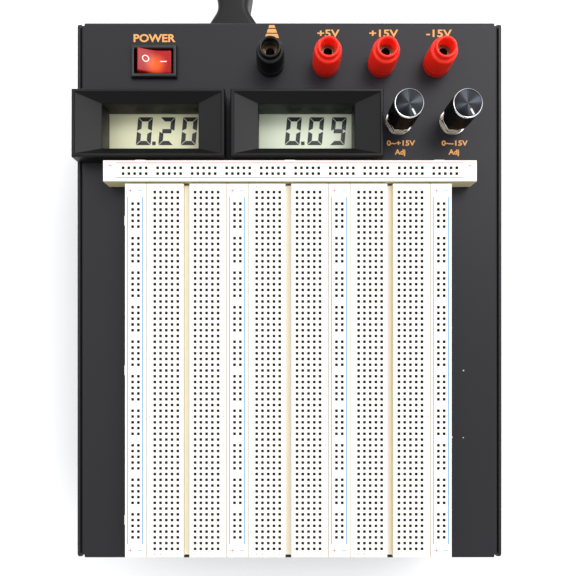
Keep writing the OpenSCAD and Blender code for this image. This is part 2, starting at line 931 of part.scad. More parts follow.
// Machine screws inside the case: inlet, circuit board and display boards
module inner_screws() {
    color("#b9bcc0") {
        at_inlet()
            for (side = [-1, 1])
                translate([side * inlet_screw_pitch / 2, inlet_flange_t, 0])
                    rotate([-90, 0, 0]) {
                        translate([0, 0, -1.5]) cylinder(d1 = 3, d2 = 6, h = 1.5);
                        translate([0, 0, -9]) cylinder(d = screw_d, h = 8);
                    }
        for (x = [-1, 1], y = [-1, 1])
            translate([pcb_x + x * (pcb_w / 2 - pcb_hole_inset),
                       pcb_y + y * (pcb_d / 2 - pcb_hole_inset), pcb_z + pcb_t])
                pan_screw(2.5, 8);
        at_meters()
            for (side = [-1, 1])
                translate([side * (sleeve_w + lcd_w) / 4, 0, -sleeve_h - meter_board_t])
                    rotate([180, 0, 0]) pan_screw(1.6, 5);
    }
}

// ---- Inside ----

module transformer_core() {
    color("#5c5f66")
    translate([core_x, core_y, tray_top]) {
        difference() {
            union() {
                block(core_w, core_d, core_h);
                block(core_w + 2 * core_foot_w, core_d, core_foot_t);
            }
            for (side = [-1, 1])
                translate([side * (core_w / 2 - 1.5 * leg_w), 0, leg_w])
                    block(leg_w, core_d + 2, core_h - 2 * leg_w);
            for (side = [-1, 1])
                translate([side * (core_w / 2 + core_foot_w / 2), 0, -1]) cylinder(r = 2.1, h = 4);
        }
    }
}

module transformer_winding() {
    inner_w = core_w - 4 * leg_w + 2 * winding_gap;
    inner_d = core_d + 2 * winding_gap;
    color("#d8a53c")
    translate([core_x, core_y, tray_top + leg_w + winding_gap])
        difference() {
            block(inner_w + 2 * winding_t, inner_d + 2 * winding_t, core_h - 2 * leg_w - 2 * winding_gap);
            translate([0, 0, -1]) block(inner_w, inner_d, core_h);
        }
}

module transformer_screws() {
    color("#b9bcc0")
    for (side = [-1, 1])
        translate([core_x + side * (core_w / 2 + core_foot_w / 2), core_y, tray_top + core_foot_t])
            pan_screw(4, core_foot_t + sheet_t + 3);
}

module power_board() {
    color("#2f6b45")
    translate([pcb_x, pcb_y, pcb_z])
        difference() {
            block(pcb_w, pcb_d, pcb_t);
            for (x = [-1, 1], y = [-1, 1])
                translate([x * (pcb_w / 2 - pcb_hole_inset), y * (pcb_d / 2 - pcb_hole_inset), -1])
                    cylinder(r = 1.4, h = pcb_t + 2);
        }
}

module on_board() {
    translate([pcb_x, pcb_y, pcb_z + pcb_t]) children();
}

module filter_capacitors() {
    color("#27304f")
    on_board() {
        for (x = [-26, -8]) translate([x, -26, 0]) cylinder(d = 13, h = 26);
        for (x = [-28, -14, 0, 14]) translate([x, 2, 0]) cylinder(d = 8, h = 12);
    }
}

module heatsink() {
    color("#aeb2b8")
    on_board() translate([0, 36, 0]) {
        block(60, 3, 26);
        for (i = [0:8]) translate([-28 + i * 7, -7.5 + tiny, 0]) block(1.4, 12, 26);
    }
}

// Three-legged regulators that stand against the heatsink's flat side
module regulators() {
    color("#242428")
    on_board() for (x = [-20, 0, 20]) translate([x, 0, 0]) {
        translate([0, 39.75, 4]) block(10, 4.5, 15);
        for (leg = [-1:1]) translate([leg * 2.54, 39, 0]) block(0.8, 0.6, 4);
    }
}

// A wire laid along straight runs that overlap at each corner
module wire(points) {
    for (i = [0:len(points) - 2]) {
        run = points[i + 1] - points[i];
        lap = i > 0 ? wire_r : 0;
        translate(points[i])
            rotate([0, acos(run[2] / norm(run)), atan2(run[1], run[0])])
                translate([0, 0, -lap]) cylinder(r = wire_r, h = norm(run) + lap, $fn = 8);
    }
}

// Mains from the inlet to the switch and the transformer
module mains_wires() {
    terminal_z = panel_z - housing_h - terminal_l;
    pin_y = rear_y - inlet_depth;
    pin_z = inlet_z - 2;
    winding_y = core_y + core_d / 2 + winding_gap + winding_t;
    live_x = switch_x - terminal_step;
    load_x = switch_x + terminal_step;
    wire([[inlet_x - 7, pin_y, pin_z], [inlet_x - 7, pin_y - 8, pin_z], [live_x, pin_y - 8, pin_z],
          [live_x, switch_y, pin_z], [live_x, switch_y, terminal_z]]);
    wire([[load_x, switch_y, terminal_z], [load_x, switch_y, secondary_z],
          [load_x, winding_y, secondary_z]]);
    wire([[inlet_x + 7, pin_y, pin_z], [inlet_x + 7, pin_y - 12, pin_z],
          [core_x + 14, pin_y - 12, pin_z], [core_x + 14, winding_y, pin_z]]);
}

// Three low-voltage leads from the transformer to the front of the board
module secondary_wires() {
    winding_y = core_y - core_d / 2 - winding_gap - winding_t;
    board_front = pcb_y - pcb_d / 2;
    for (i = [0:2]) {
        from_x = core_x + 6 - 6 * i;
        to_x = pcb_x - 30 + 6 * i;
        low_y = board_front - 8 - 3.5 * i;
        wire([[from_x, winding_y, secondary_z], [from_x, low_y, secondary_z], [to_x, low_y, secondary_z],
              [to_x, board_front + 6, secondary_z], [to_x, board_front + 6, pcb_z + pcb_t]]);
    }
}

// One lead from the rear of the board to each post, each at its own height
module output_wires() {
    for (i = [0:3]) {
        from_x = pcb_x - 24 + 10 * i;
        from_y = pcb_y + pcb_d / 2 - 2.5;
        z = secondary_z + 3 * i;
        wire([[from_x, from_y, pcb_z + pcb_t], [from_x, from_y, z], [post_xs[i], from_y, z],
              [post_xs[i], post_y, z], [post_xs[i], post_y, panel_z + stud_low]]);
    }
}

module wiring_loom() {
    color("#b8402f") {
        mains_wires();
        secondary_wires();
        output_wires();
    }
}

// ---- Mains cord ----

module mains_connector() {
    right_side = [for (p = connector_half) [p[1], p[0]]];
    left_side = [for (i = [len(connector_half) - 1:-1:0]) [-connector_half[i][1], connector_half[i][0]]];
    outline = concat(right_side, left_side);
    color("#202023")
    difference() {
        union() {
            translate([inlet_x, connector_y, inlet_z - connector_h / 2])
                linear_extrude(connector_h) polygon(outline);
            translate([inlet_x, connector_y + connector_l - tiny, inlet_z]) rotate([-90, 0, 0])
                cylinder(r1 = relief_r, r2 = cord_r + 0.4, h = relief_l + tiny);
            translate([inlet_x, connector_y - (inlet_depth - 5) / 2, inlet_z])
                along_y(inlet_depth - 5 + tiny) inlet_outline(-plug_fit);
        }
        for (p = [[-7, -2], [7, -2], [0, 3]])
            translate([inlet_x + p[0], connector_y - (inlet_depth - 5) / 2, inlet_z + p[1]])
                along_y(inlet_depth + 2) square([2.6, 4.6], center = true);
    }
}

module cord_tube() {
    sides = 10;
    count = len(cord_points);
    color("#1d1d20")
    polyhedron(
        points = [for (i = [0:count - 1]) each ring(cord_points, i, cord_r, sides)],
        faces = concat(
            [[for (k = [0:sides - 1]) k]],
            [[for (k = [sides - 1:-1:0]) (count - 1) * sides + k]],
            [for (i = [0:count - 2], k = [0:sides - 1])
                let (a = i * sides + k, b = i * sides + (k + 1) % sides)
                [a, a + sides, b + sides, b]]));
}

module cord_coil() {
    color("#1d1d20")
    translate([coil_x, coil_y, 0])
        rotate_extrude()
            translate([coil_in_r, 0]) square([coil_out_r - coil_in_r, coil_h]);
}

module cord_tie() {
    color("#3a3a3e")
    translate([coil_x, coil_y, 0])
        rotate(tie_angle)
            translate([coil_turn_r, 0, 0])
                difference() {
                    block(coil_out_r - coil_in_r + 2 * tie_t, tie_w, coil_h + tie_t);
                    translate([0, 0, tie_t])
                        block(coil_out_r - coil_in_r, tie_w + 2, coil_h - tie_t);
                }
}

module mains_plug() {
    body_x = plug_x + plug_relief_l;
    face_x = body_x + plug_l - tiny;
    color("#202023")
    translate([0, plug_y, plug_z]) {
        translate([plug_x, 0, 0]) rotate([0, 90, 0])
            cylinder(r1 = cord_r + 0.4, r2 = relief_r, h = plug_relief_l + tiny);
        translate([body_x, -plug_w / 2, -plug_h / 2])
            cube([plug_l, plug_w, plug_h]);
        for (side = [-1, 1])
            translate([face_x, side * plug_blade_step - plug_blade[1] / 2, -plug_blade[2] / 2])
                cube(plug_blade);
        translate([face_x, 0, plug_pin_up]) rotate([0, 90, 0])
            cylinder(r = plug_pin_r, h = plug_pin_l);
    }
}

base_tray();
top_cover();
case_screws();
rubber_feet();
foot_screws();
terminal_strip_left();
terminal_strip_middle();
terminal_strip_right();
bus_strip_left();
bus_strip_inner_left();
bus_strip_inner_right();
bus_strip_right();
bus_strip_rear();
backing_tape();
contact_clips();
left_meter_bezel();
right_meter_bezel();
meter_lenses();
meter_displays();
meter_boards();
switch_housing();
switch_terminals();
switch_lamp();
power_rocker();
post_bushings();
post_studs();
post_nuts();
ground_post_cap();
plus5_post_cap();
plus15_post_cap();
minus15_post_cap();
ground_post_insert();
plus5_post_insert();
plus15_post_insert();
minus15_post_insert();
plus_knob();
minus_knob();
plus_knob_cap();
minus_knob_cap();
plus_pot_shaft();
minus_pot_shaft();
pot_bodies();
pot_nuts();
pot_washers();
mains_inlet();
inlet_pins();
inner_screws();
transformer_core();
transformer_winding();
transformer_screws();
power_board();
filter_capacitors();
regulators();
heatsink();
wiring_loom();
mains_connector();
cord_tube();
cord_coil();
cord_tie();
mains_plug();
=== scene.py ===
"""Looks of a bench power supply whose top panel carries a solderless breadboard.

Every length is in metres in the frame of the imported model: +X is the operator's right, +Y points to
the rear wall and +Z points up. Places come from the boxes of the model's nodes.
"""

import json
import logging
import math
from dataclasses import dataclass, field
from enum import Enum
from typing import Callable, Iterable, Sequence

import bmesh
import bpy
from mathutils import Matrix, Vector

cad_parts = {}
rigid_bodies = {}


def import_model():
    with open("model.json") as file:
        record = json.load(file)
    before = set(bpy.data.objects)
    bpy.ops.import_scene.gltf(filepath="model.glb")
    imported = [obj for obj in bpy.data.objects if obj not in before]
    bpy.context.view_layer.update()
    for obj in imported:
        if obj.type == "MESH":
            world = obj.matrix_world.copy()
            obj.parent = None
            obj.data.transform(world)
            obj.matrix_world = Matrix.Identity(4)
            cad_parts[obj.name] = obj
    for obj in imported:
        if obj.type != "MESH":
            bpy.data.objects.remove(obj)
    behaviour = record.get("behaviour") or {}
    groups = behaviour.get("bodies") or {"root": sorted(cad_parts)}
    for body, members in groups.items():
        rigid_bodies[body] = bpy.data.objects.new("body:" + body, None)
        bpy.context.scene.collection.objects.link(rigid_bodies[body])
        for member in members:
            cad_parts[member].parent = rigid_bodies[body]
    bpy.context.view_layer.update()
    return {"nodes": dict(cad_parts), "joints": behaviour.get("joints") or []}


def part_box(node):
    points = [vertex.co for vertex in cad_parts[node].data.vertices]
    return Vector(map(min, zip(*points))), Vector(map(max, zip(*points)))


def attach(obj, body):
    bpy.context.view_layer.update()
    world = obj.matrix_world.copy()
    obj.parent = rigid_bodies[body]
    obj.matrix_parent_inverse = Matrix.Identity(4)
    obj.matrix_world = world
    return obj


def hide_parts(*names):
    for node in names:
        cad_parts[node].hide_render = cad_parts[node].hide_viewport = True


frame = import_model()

log = logging.getLogger("bench_supply")
MM = 0.001
Point = tuple[float, float, float]
Colour = tuple[float, float, float, float]
Build = tuple[list[Point], list[tuple[int, ...]]]


# ---------------------------------------------------------------- colours and shader tools


def colour(code: str) -> Colour:
    """Turns a written colour into the linear values that a shader takes.

    Args:
        code: six hexadecimal digits, red first.

    Returns:
        Linear red, green, blue and an alpha of one.
    """
    values = [int(code[i:i + 2], 16) / 255 for i in (0, 2, 4)]
    linear = [v / 12.92 if v <= 0.04045 else ((v + 0.055) / 1.055) ** 2.4 for v in values]
    return (linear[0], linear[1], linear[2], 1.0)


def new_group(name: str, inputs: dict[str, float], outputs: Sequence[str]) -> bpy.types.NodeTree:
    """Makes an empty shader group with float inputs and float outputs.

    Args:
        name: the group's name.
        inputs: input names and their default values.
        outputs: output names.

    Returns:
        The group, with its input and output nodes in place.
    """
    group = bpy.data.node_groups.new(name, "ShaderNodeTree")
    for label, value in inputs.items():
        socket = group.interface.new_socket(label, in_out="INPUT", socket_type="NodeSocketFloat")
        socket.default_value = value
    for label in outputs:
        group.interface.new_socket(label, in_out="OUTPUT", socket_type="NodeSocketFloat")
    group.nodes.new("NodeGroupInput").name = "in"
    group.nodes.new("NodeGroupOutput").name = "out"
    return group


def math_node(tree: bpy.types.NodeTree, operation: str, *values: object) -> bpy.types.NodeSocket:
    """Adds a Math node.

    Args:
        tree: the tree that takes the node.
        operation: the node's operation.
        values: sockets or numbers for its inputs, in order.

    Returns:
        The node's output.
    """
    node = tree.nodes.new("ShaderNodeMath")
    node.operation = operation
    for socket, value in zip(node.inputs, values):
        if isinstance(value, (int, float)):
            socket.default_value = value
        else:
            tree.links.new(value, socket)
    return node.outputs[0]


class Effects:
    """Shader groups that several finishes share: grain, dust and worn edges."""

    def __init__(self) -> None:
        """Builds the three groups once."""
        self.grain = self._grain()
        self.dust = self._dust()
        self.wear = self._wear()

    def _grain(self) -> bpy.types.NodeTree:
        """Builds the grain group: fine moulded or sprayed texture over broad unevenness.

        Returns:
            A group with the outputs Mask and Height.
        """
        tree = new_group("surface_grain", {"Scale": 900.0, "Broad": 40.0}, ("Mask", "Height"))
        place = tree.nodes.new("ShaderNodeTexCoord").outputs["Object"]
        sockets = tree.nodes["in"].outputs
        fine = tree.nodes.new("ShaderNodeTexNoise")
        fine.inputs["Detail"].default_value = 3.0
        broad = tree.nodes.new("ShaderNodeTexNoise")
        broad.inputs["Detail"].default_value = 4.0
        for noise, scale in ((fine, "Scale"), (broad, "Broad")):
            tree.links.new(place, noise.inputs["Vector"])
            tree.links.new(sockets[scale], noise.inputs["Scale"])
        mixed = math_node(tree, "MULTIPLY_ADD", broad.outputs["Fac"], 0.5,
                          math_node(tree, "MULTIPLY", fine.outputs["Fac"], 0.5))
        tree.links.new(mixed, tree.nodes["out"].inputs["Mask"])
        tree.links.new(fine.outputs["Fac"], tree.nodes["out"].inputs["Height"])
        return tree

    def _dust(self) -> bpy.types.NodeTree:
        """Builds the dust group: sparse specks of uneven size.

        Returns:
            A group with the output Mask.
        """
        tree = new_group("dust_specks", {"Scale": 160.0, "Amount": 0.1}, ("Mask",))
        place = tree.nodes.new("ShaderNodeTexCoord").outputs["Object"]
        sockets = tree.nodes["in"].outputs
        cells = tree.nodes.new("ShaderNodeTexVoronoi")
        tree.links.new(place, cells.inputs["Vector"])
        tree.links.new(sockets["Scale"], cells.inputs["Scale"])
        near = math_node(tree, "LESS_THAN", cells.outputs["Distance"], sockets["Amount"])
        chosen = math_node(tree, "GREATER_THAN", cells.outputs["Color"], 0.72)
        tree.links.new(math_node(tree, "MULTIPLY", near, chosen), tree.nodes["out"].inputs["Mask"])
        return tree

    def _wear(self) -> bpy.types.NodeTree:
        """Builds the edge group: where a rounded normal leaves the true one, broken up by noise.

        Returns:
            A group with the output Mask.
        """
        tree = new_group("edge_wear", {"Radius": 0.0006, "Amount": 3.0, "Scale": 500.0}, ("Mask",))
        sockets = tree.nodes["in"].outputs
        bevel = tree.nodes.new("ShaderNodeBevel")
        bevel.samples = 4
        tree.links.new(sockets["Radius"], bevel.inputs["Radius"])
        truth = tree.nodes.new("ShaderNodeNewGeometry")
        dot = tree.nodes.new("ShaderNodeVectorMath")
        dot.operation = "DOT_PRODUCT"
        tree.links.new(bevel.outputs[0], dot.inputs[0])
        tree.links.new(truth.outputs["Normal"], dot.inputs[1])
        noise = tree.nodes.new("ShaderNodeTexNoise")
        tree.links.new(tree.nodes.new("ShaderNodeTexCoord").outputs["Object"], noise.inputs["Vector"])
        tree.links.new(sockets["Scale"], noise.inputs["Scale"])
        bend = math_node(tree, "SUBTRACT", 1.0, dot.outputs["Value"])
        worn = math_node(tree, "MULTIPLY", math_node(tree, "MULTIPLY", bend, sockets["Amount"]),
                         noise.outputs["Fac"])
        tree.links.new(math_node(tree, "MINIMUM", worn, 1.0), tree.nodes["out"].inputs["Mask"])
        return tree


EFFECTS = Effects()
BUILT: dict[str, bpy.types.Material] = {}


@dataclass(frozen=True)
class Finish:
    """A painted, moulded or plated surface with grain, unevenness, dust and worn edges."""

    name: str
    base: str
    tint: str
    roughness: float = 0.5
    metallic: float = 0.0
    grain: float = 900.0
    broad: float = 40.0
    bump: float = 0.1
    dust: float = 0.0
    wear: float = 0.0
    wear_colour: str = "8a8a90"
    specular: float = 0.5
    coat: float = 0.0
    subsurface: float = 0.0
    rounding: float = 0.0

    def material(self) -> bpy.types.Material:
        """Builds the material, or returns the one already built.

        Returns:
            The finish's material.
        """
        if self.name in BUILT:
            return BUILT[self.name]
        made = BUILT[self.name] = bpy.data.materials.new(self.name + "_finish")
        made.use_nodes = True
        tree = made.node_tree
        shader = tree.nodes["Principled BSDF"]
        shader.inputs["Metallic"].default_value = self.metallic
        shader.inputs["Specular IOR Level"].default_value = self.specular
        shader.inputs["Coat Weight"].default_value = self.coat
        shader.inputs["Coat Roughness"].default_value = 0.12
        if self.subsurface:
            shader.inputs["Subsurface Weight"].default_value = self.subsurface
            shader.inputs["Subsurface Scale"].default_value = 0.002
            shader.inputs["Subsurface Radius"].default_value = (1.0, 0.4, 0.25)
        grain = self.group(tree, EFFECTS.grain, Scale=self.grain, Broad=self.broad)
        shade = self.mix(tree, grain.outputs["Mask"], colour(self.base), colour(self.tint))
        if self.dust:
            specks = self.group(tree, EFFECTS.dust, Scale=160.0, Amount=self.dust)
            shade = self.mix(tree, specks.outputs["Mask"], shade, colour("b9b6b4"))
        if self.wear:
            worn = self.group(tree, EFFECTS.wear, Radius=0.0006, Amount=self.wear, Scale=500.0)
            shade = self.mix(tree, worn.outputs["Mask"], shade, colour(self.wear_colour))
        shade = self.pattern(tree, shade)
        tree.links.new(shade, shader.inputs["Base Color"])
        spread = tree.nodes.new("ShaderNodeMapRange")
        spread.inputs["To Min"].default_value = max(0.02, self.roughness - 0.08)
        spread.inputs["To Max"].default_value = min(1.0, self.roughness + 0.08)
        tree.links.new(grain.outputs["Mask"], spread.inputs["Value"])
        tree.links.new(spread.outputs[0], shader.inputs["Roughness"])
        bump = tree.nodes.new("ShaderNodeBump")
        bump.inputs["Strength"].default_value = self.bump
        bump.inputs["Distance"].default_value = 0.0002
        tree.links.new(grain.outputs["Height"], bump.inputs["Height"])
        if self.rounding:
            soft = tree.nodes.new("ShaderNodeBevel")
            soft.samples = 4
            soft.inputs["Radius"].default_value = self.rounding
            tree.links.new(soft.outputs[0], bump.inputs["Normal"])
        tree.links.new(bump.outputs[0], shader.inputs["Normal"])
        self.extras(tree, shader)
        return made

    def pattern(self, tree: bpy.types.NodeTree, shade: bpy.types.NodeSocket) -> bpy.types.NodeSocket:
        """Adds a finish's own pattern to its colour; the plain finish adds none.

        Args:
            tree: the material's tree.
            shade: the colour so far.

        Returns:
            The colour to use.
        """
        return shade

    def extras(self, tree: bpy.types.NodeTree, shader: bpy.types.ShaderNode) -> None:
        """Sets what only some finishes have; the plain finish sets nothing.

        Args:
            tree: the material's tree.
            shader: its Principled node.
        """

    @staticmethod
    def group(tree: bpy.types.NodeTree, group: bpy.types.NodeTree, **values: float) -> bpy.types.Node:
        """Places a shader group in a material.

        Args:
            tree: the material's tree.
            group: the group to place.
            values: the group's input values by name.

        Returns:
            The group's node.
        """
        node = tree.nodes.new("ShaderNodeGroup")
        node.node_tree = group
        for label, value in values.items():
            node.inputs[label].default_value = value
        return node

    @staticmethod
    def mix(tree: bpy.types.NodeTree, factor: object, first: object, second: object) -> bpy.types.NodeSocket:
        """Mixes two colours.

        Args:
            tree: the material's tree.
            factor: a socket that goes from the first colour to the second.
            first: a colour or a socket.
            second: a colour or a socket.

        Returns:
            The mixed colour's socket.
        """
        node = tree.nodes.new("ShaderNodeMix")
        node.data_type = "RGBA"
        tree.links.new(factor, node.inputs["Factor"])
        for slot, value in ((6, first), (7, second)):
            if isinstance(value, tuple):
                node.inputs[slot].default_value = value
            else:
                tree.links.new(value, node.inputs[slot])
        return node.outputs[2]

    @staticmethod
    def centred(tree: bpy.types.NodeTree, centre: Point) -> bpy.types.NodeSocket:
        """Gives object coordinates measured from a point.

        Args:
            tree: the material's tree.
            centre: the point, in metres.

        Returns:
            The vector's socket.
        """
        mapping = tree.nodes.new("ShaderNodeMapping")
        mapping.vector_type = "POINT"
        mapping.inputs["Location"].default_value = (-centre[0], -centre[1], -centre[2])
        tree.links.new(tree.nodes.new("ShaderNodeTexCoord").outputs["Object"], mapping.inputs["Vector"])
        return mapping.outputs[0]


@dataclass(frozen=True)
class BoardPlastic(Finish):
    """Ivory board plastic, with painted shade: the faces that look sideways get a darker, yellower colour
    than the top.
    """

    # painted shade: the colour of the faces that look sideways, such as the groove walls
    wall: str = "ded2ac"

    def pattern(self, tree: bpy.types.NodeTree, shade: bpy.types.NodeSocket) -> bpy.types.NodeSocket:
        """Paints shade on the faces that look sideways.

        Args:
            tree: the material's tree.
            shade: the colour so far.

        Returns:
            The colour with painted shade on the walls.
        """
        split = tree.nodes.new("ShaderNodeSeparateXYZ")
        tree.links.new(tree.nodes.new("ShaderNodeTexCoord").outputs["Normal"], split.inputs[0])
        # faces that look sideways take the painted shade colour
        side = math_node(tree, "LESS_THAN", split.outputs["Z"], 0.5)
        return self.mix(tree, side, shade, colour(self.wall))


@dataclass(frozen=True)
class SpunMetal(Finish):
    """Metal turned on a lathe, with painted highlight rays around its centre."""

    centre: Point = (0.0, 0.0, 0.0)
    # colour of the painted highlight rays
    ray: str = "4a5058"

    def pattern(self, tree: bpy.types.NodeTree, shade: bpy.types.NodeSocket) -> bpy.types.NodeSocket:
        """Adds painted highlight rays that run out from the centre.

        Args:
            tree: the material's tree.
            shade: the colour so far.

        Returns:
            The colour with painted highlight rays.
        """
        split = tree.nodes.new("ShaderNodeSeparateXYZ")
        tree.links.new(self.centred(tree, self.centre), split.inputs[0])
        angle = math_node(tree, "ARCTAN2", split.outputs["Y"], split.outputs["X"])
        around = math_node(tree, "SINE", math_node(tree, "MULTIPLY_ADD", angle, 2.0, 0.9))
        fine = tree.nodes.new("ShaderNodeTexNoise")
        fine.noise_dimensions = "1D"
        tree.links.new(angle, fine.inputs["W"])
        fine.inputs["Scale"].default_value = 9.0
        narrow = math_node(tree, "POWER", math_node(tree, "ABSOLUTE", around), 5.0)
        # painted highlight: rays of lighter colour across the face, narrowed and broken up by noise
        rays = math_node(tree, "MULTIPLY", narrow, fine.outputs["Fac"])
        return self.mix(tree, rays, shade, colour(self.ray))


@dataclass(frozen=True)
class GlowingRocker(Finish):
    """Translucent red plastic with a lamp behind its middle."""

    lamp: Point = (0.0, 0.0, 0.0)
    reach: float = 0.0062

    def extras(self, tree: bpy.types.NodeTree, shader: bpy.types.ShaderNode) -> None:
        """Lets the lamp's light show through around the middle.

        Args:
            tree: the material's tree.
            shader: its Principled node.
        """
        length = tree.nodes.new("ShaderNodeVectorMath")
        length.operation = "LENGTH"
        tree.links.new(self.centred(tree, self.lamp), length.inputs[0])
        fall = tree.nodes.new("ShaderNodeMapRange")
        fall.interpolation_type = "SMOOTHSTEP"
        fall.inputs["From Min"].default_value = self.reach
        fall.inputs["From Max"].default_value = 0.0
        tree.links.new(length.outputs["Value"], fall.inputs["Value"])
        glow = self.mix(tree, fall.outputs[0], colour("3a0303"), colour("ff7a1c"))
        tree.links.new(glow, shader.inputs["Emission Color"])
        shader.inputs["Emission Strength"].default_value = 0.75


@dataclass(frozen=True)
class ClearPlastic(Finish):
    """A clear window: almost nothing but its gloss."""

    alpha: float = 0.1

    def extras(self, tree: bpy.types.NodeTree, shader: bpy.types.ShaderNode) -> None:
        """Makes the window see-through.

        Args:
            tree: the material's tree.
            shader: its Principled node.
        """
        shader.inputs["Alpha"].default_value = self.alpha


@dataclass(frozen=True)
class Banded(Finish):
    """A surface of thin stacked layers or turns, such as laminations or wound tape."""

    band: str = "000000"
    scale: float = 800.0
    direction: str = "Y"
    share: float = 0.5

    def pattern(self, tree: bpy.types.NodeTree, shade: bpy.types.NodeSocket) -> bpy.types.NodeSocket:
        """Lays bands across one direction.

        Args:
            tree: the material's tree.
            shade: the colour so far.

        Returns:
            The banded colour.
        """
        wave = tree.nodes.new("ShaderNodeTexWave")
        wave.bands_direction = self.direction
        wave.inputs["Scale"].default_value = self.scale
        wave.inputs["Distortion"].default_value = 0.4
        tree.links.new(tree.nodes.new("ShaderNodeTexCoord").outputs["Object"], wave.inputs["Vector"])
        factor = math_node(tree, "MULTIPLY", wave.outputs["Fac"], self.share)
        return self.mix(tree, factor, shade, colour(self.band))


@dataclass(frozen=True)
class TwoTone(Finish):
    """One moulding colour on the left of a line across the panel and another on its right."""

    left: str = "222225"
    border: float = 0.0

    def pattern(self, tree: bpy.types.NodeTree, shade: bpy.types.NodeSocket) -> bpy.types.NodeSocket:
        """Swaps the colour of the pieces on the left.

        Args:
            tree: the material's tree.
            shade: the colour so far.

        Returns:
            The colour by place.
        """
        split = tree.nodes.new("ShaderNodeSeparateXYZ")
        tree.links.new(tree.nodes.new("ShaderNodeTexCoord").outputs["Object"], split.inputs[0])
        return self.mix(tree, math_node(tree, "LESS_THAN", split.outputs["X"], self.border),
                        shade, colour(self.left))


PANEL_PAINT = Finish("panel_paint_fine", "1b1a1e", "222126", 0.5, grain=1500.0, broad=12.0, bump=0.12,
                     dust=0.055, wear=1.0, wear_colour="45454c", specular=0.26, rounding=0.0004)
TRAY_PAINT = Finish("tray_paint_fine", "121214", "19191b", 0.5, grain=1500.0, broad=14.0, bump=0.15,
                    dust=0.05, wear=1.0, wear_colour="3a3a40", specular=0.35, rounding=0.0004)
BLACK_SCREW = Finish("black_oxide", "1c1c20", "2a2a2e", 0.35, 0.8, grain=2500.0, bump=0.1, wear=2.0,
                     rounding=0.0002)
RUBBER = Finish("foot_rubber", "0f0f10", "171718", 0.8, grain=1800.0, bump=0.3, dust=0.08)
ZINC = Finish("zinc_plate", "b4b7bb", "9da1a6", 0.28, 1.0, grain=2200.0, bump=0.08, rounding=0.0002)
# the sideways faces of the boards carry painted shade
BOARD = BoardPlastic("board_plastic_ivory", "fbf7ee", "f6f0e5", 0.42, grain=1600.0, broad=18.0, bump=0.06,
                     subsurface=0.08)
HOLE = Finish("hole_shadow", "33281c", "241b12", 0.9, grain=900.0, bump=0.05)
FOAM = Finish("foam_tape", "efece4", "ddd8cc", 0.9, grain=2600.0, bump=0.5)
SPRING = Finish("spring_strip", "c9c6bd", "aaa79d", 0.3, 1.0, grain=1500.0, bump=0.1)
INK_GREY = Finish("ink_grey", "a29c93", "938d84", 0.6, grain=3000.0, bump=0.05)
INK_RED = Finish("ink_red", "de6c88", "d85f7c", 0.55, grain=3000.0, bump=0.05)
INK_BLUE = Finish("ink_blue", "2c8fc4", "3a9acb", 0.55, grain=3000.0, bump=0.05)
INK_ORANGE = Finish("ink_orange", "e3a15c", "d8934c", 0.6, grain=2600.0, broad=300.0, bump=0.08)
INK_WHITE = Finish("ink_white", "f2f0ec", "e4e0da", 0.5, grain=2600.0, bump=0.05)
BEZEL = Finish("bezel_plastic", "0a0a0c", "101012", 0.42, grain=2200.0, broad=30.0, bump=0.12, dust=0.03,
               wear=0.8, wear_colour="3c3c42", specular=0.22)
LENS = ClearPlastic("lens_clear", "3a3d3c", "444746", 0.06, grain=400.0, bump=0.01, specular=0.6)
LCD_WARM = Finish("display_warm", "efefc4", "f5f4d0", 0.3, grain=700.0, broad=30.0, bump=0.02)
LCD_COOL = Finish("display_cool", "ebf5d5", "f2fae3", 0.3, grain=700.0, broad=30.0, bump=0.02)
SEGMENT = Finish("display_segment", "1c2024", "25292e", 0.35, grain=1500.0, bump=0.02)
PCB = Finish("circuit_board_mask", "23603c", "2f7448", 0.35, grain=600.0, broad=120.0, bump=0.15, coat=0.3)
SWITCH = Finish("switch_plastic", "0d0d0f", "151517", 0.36, grain=2400.0, bump=0.15, wear=0.8, dust=0.03)
LAMP = Finish("neon_lamp", "f08a2c", "ffb45c", 0.1, grain=500.0, bump=0.02)
BRASS = Finish("turned_brass", "c29a48", "a8823a", 0.25, 1.0, grain=1800.0, bump=0.1, rounding=0.0002)
SOCKET_METAL = Finish("socket_metal", "8f857a", "756b60", 0.3, 1.0, grain=1800.0, bump=0.12)
POST_RED = Finish("post_red", "ff2412", "ff2c18", 0.36, grain=1300.0, broad=60.0, bump=0.05, specular=0.35,
                  subsurface=0.15)
POST_BLACK = Finish("post_black", "080809", "0e0e0f", 0.34, grain=1300.0, broad=60.0, bump=0.07,
                    specular=0.3)
KNOB = Finish("knob_black", "09090a", "101012", 0.3, grain=2200.0, bump=0.1)
CHROME = Finish("bright_chrome", "dfe1e4", "c9ccd0", 0.1, 1.0, grain=1500.0, bump=0.02)
NICKEL = Finish("nickel_plate", "cfcac0", "b5afa3", 0.22, 1.0, grain=1600.0, bump=0.06, rounding=0.0002)
CORE = Banded("core_laminations", "55585f", "3f4248", 0.5, 0.6, grain=900.0, bump=0.2, band="202226",
              scale=320.0, direction="Y", share=0.7)
WINDING = Banded("winding_tape", "d2a03a", "c08d2a", 0.3, grain=500.0, bump=0.1, coat=0.4, band="8a5f14",
                 scale=90.0, direction="Z", share=0.35)
SLEEVE = Finish("capacitor_sleeve", "232d4d", "2d3a60", 0.25, grain=800.0, bump=0.05, coat=0.3)
FINS = Banded("heatsink_extrusion", "a9adb3", "989ca2", 0.35, 0.9, grain=900.0, bump=0.1, band="7d8188",
              scale=420.0, direction="X", share=0.4)
WIRE = Finish("wire_insulation", "a93626", "c04431", 0.35, grain=700.0, bump=0.05, coat=0.2)
CORD = Finish("cord_plastic", "09090a", "101011", 0.45, grain=1500.0, broad=80.0, bump=0.15, dust=0.03,
              specular=0.25)
TIE = Finish("tie_strap", "232326", "2d2d31", 0.6, grain=1600.0, bump=0.2)


# ---------------------------------------------------------------- mesh tools


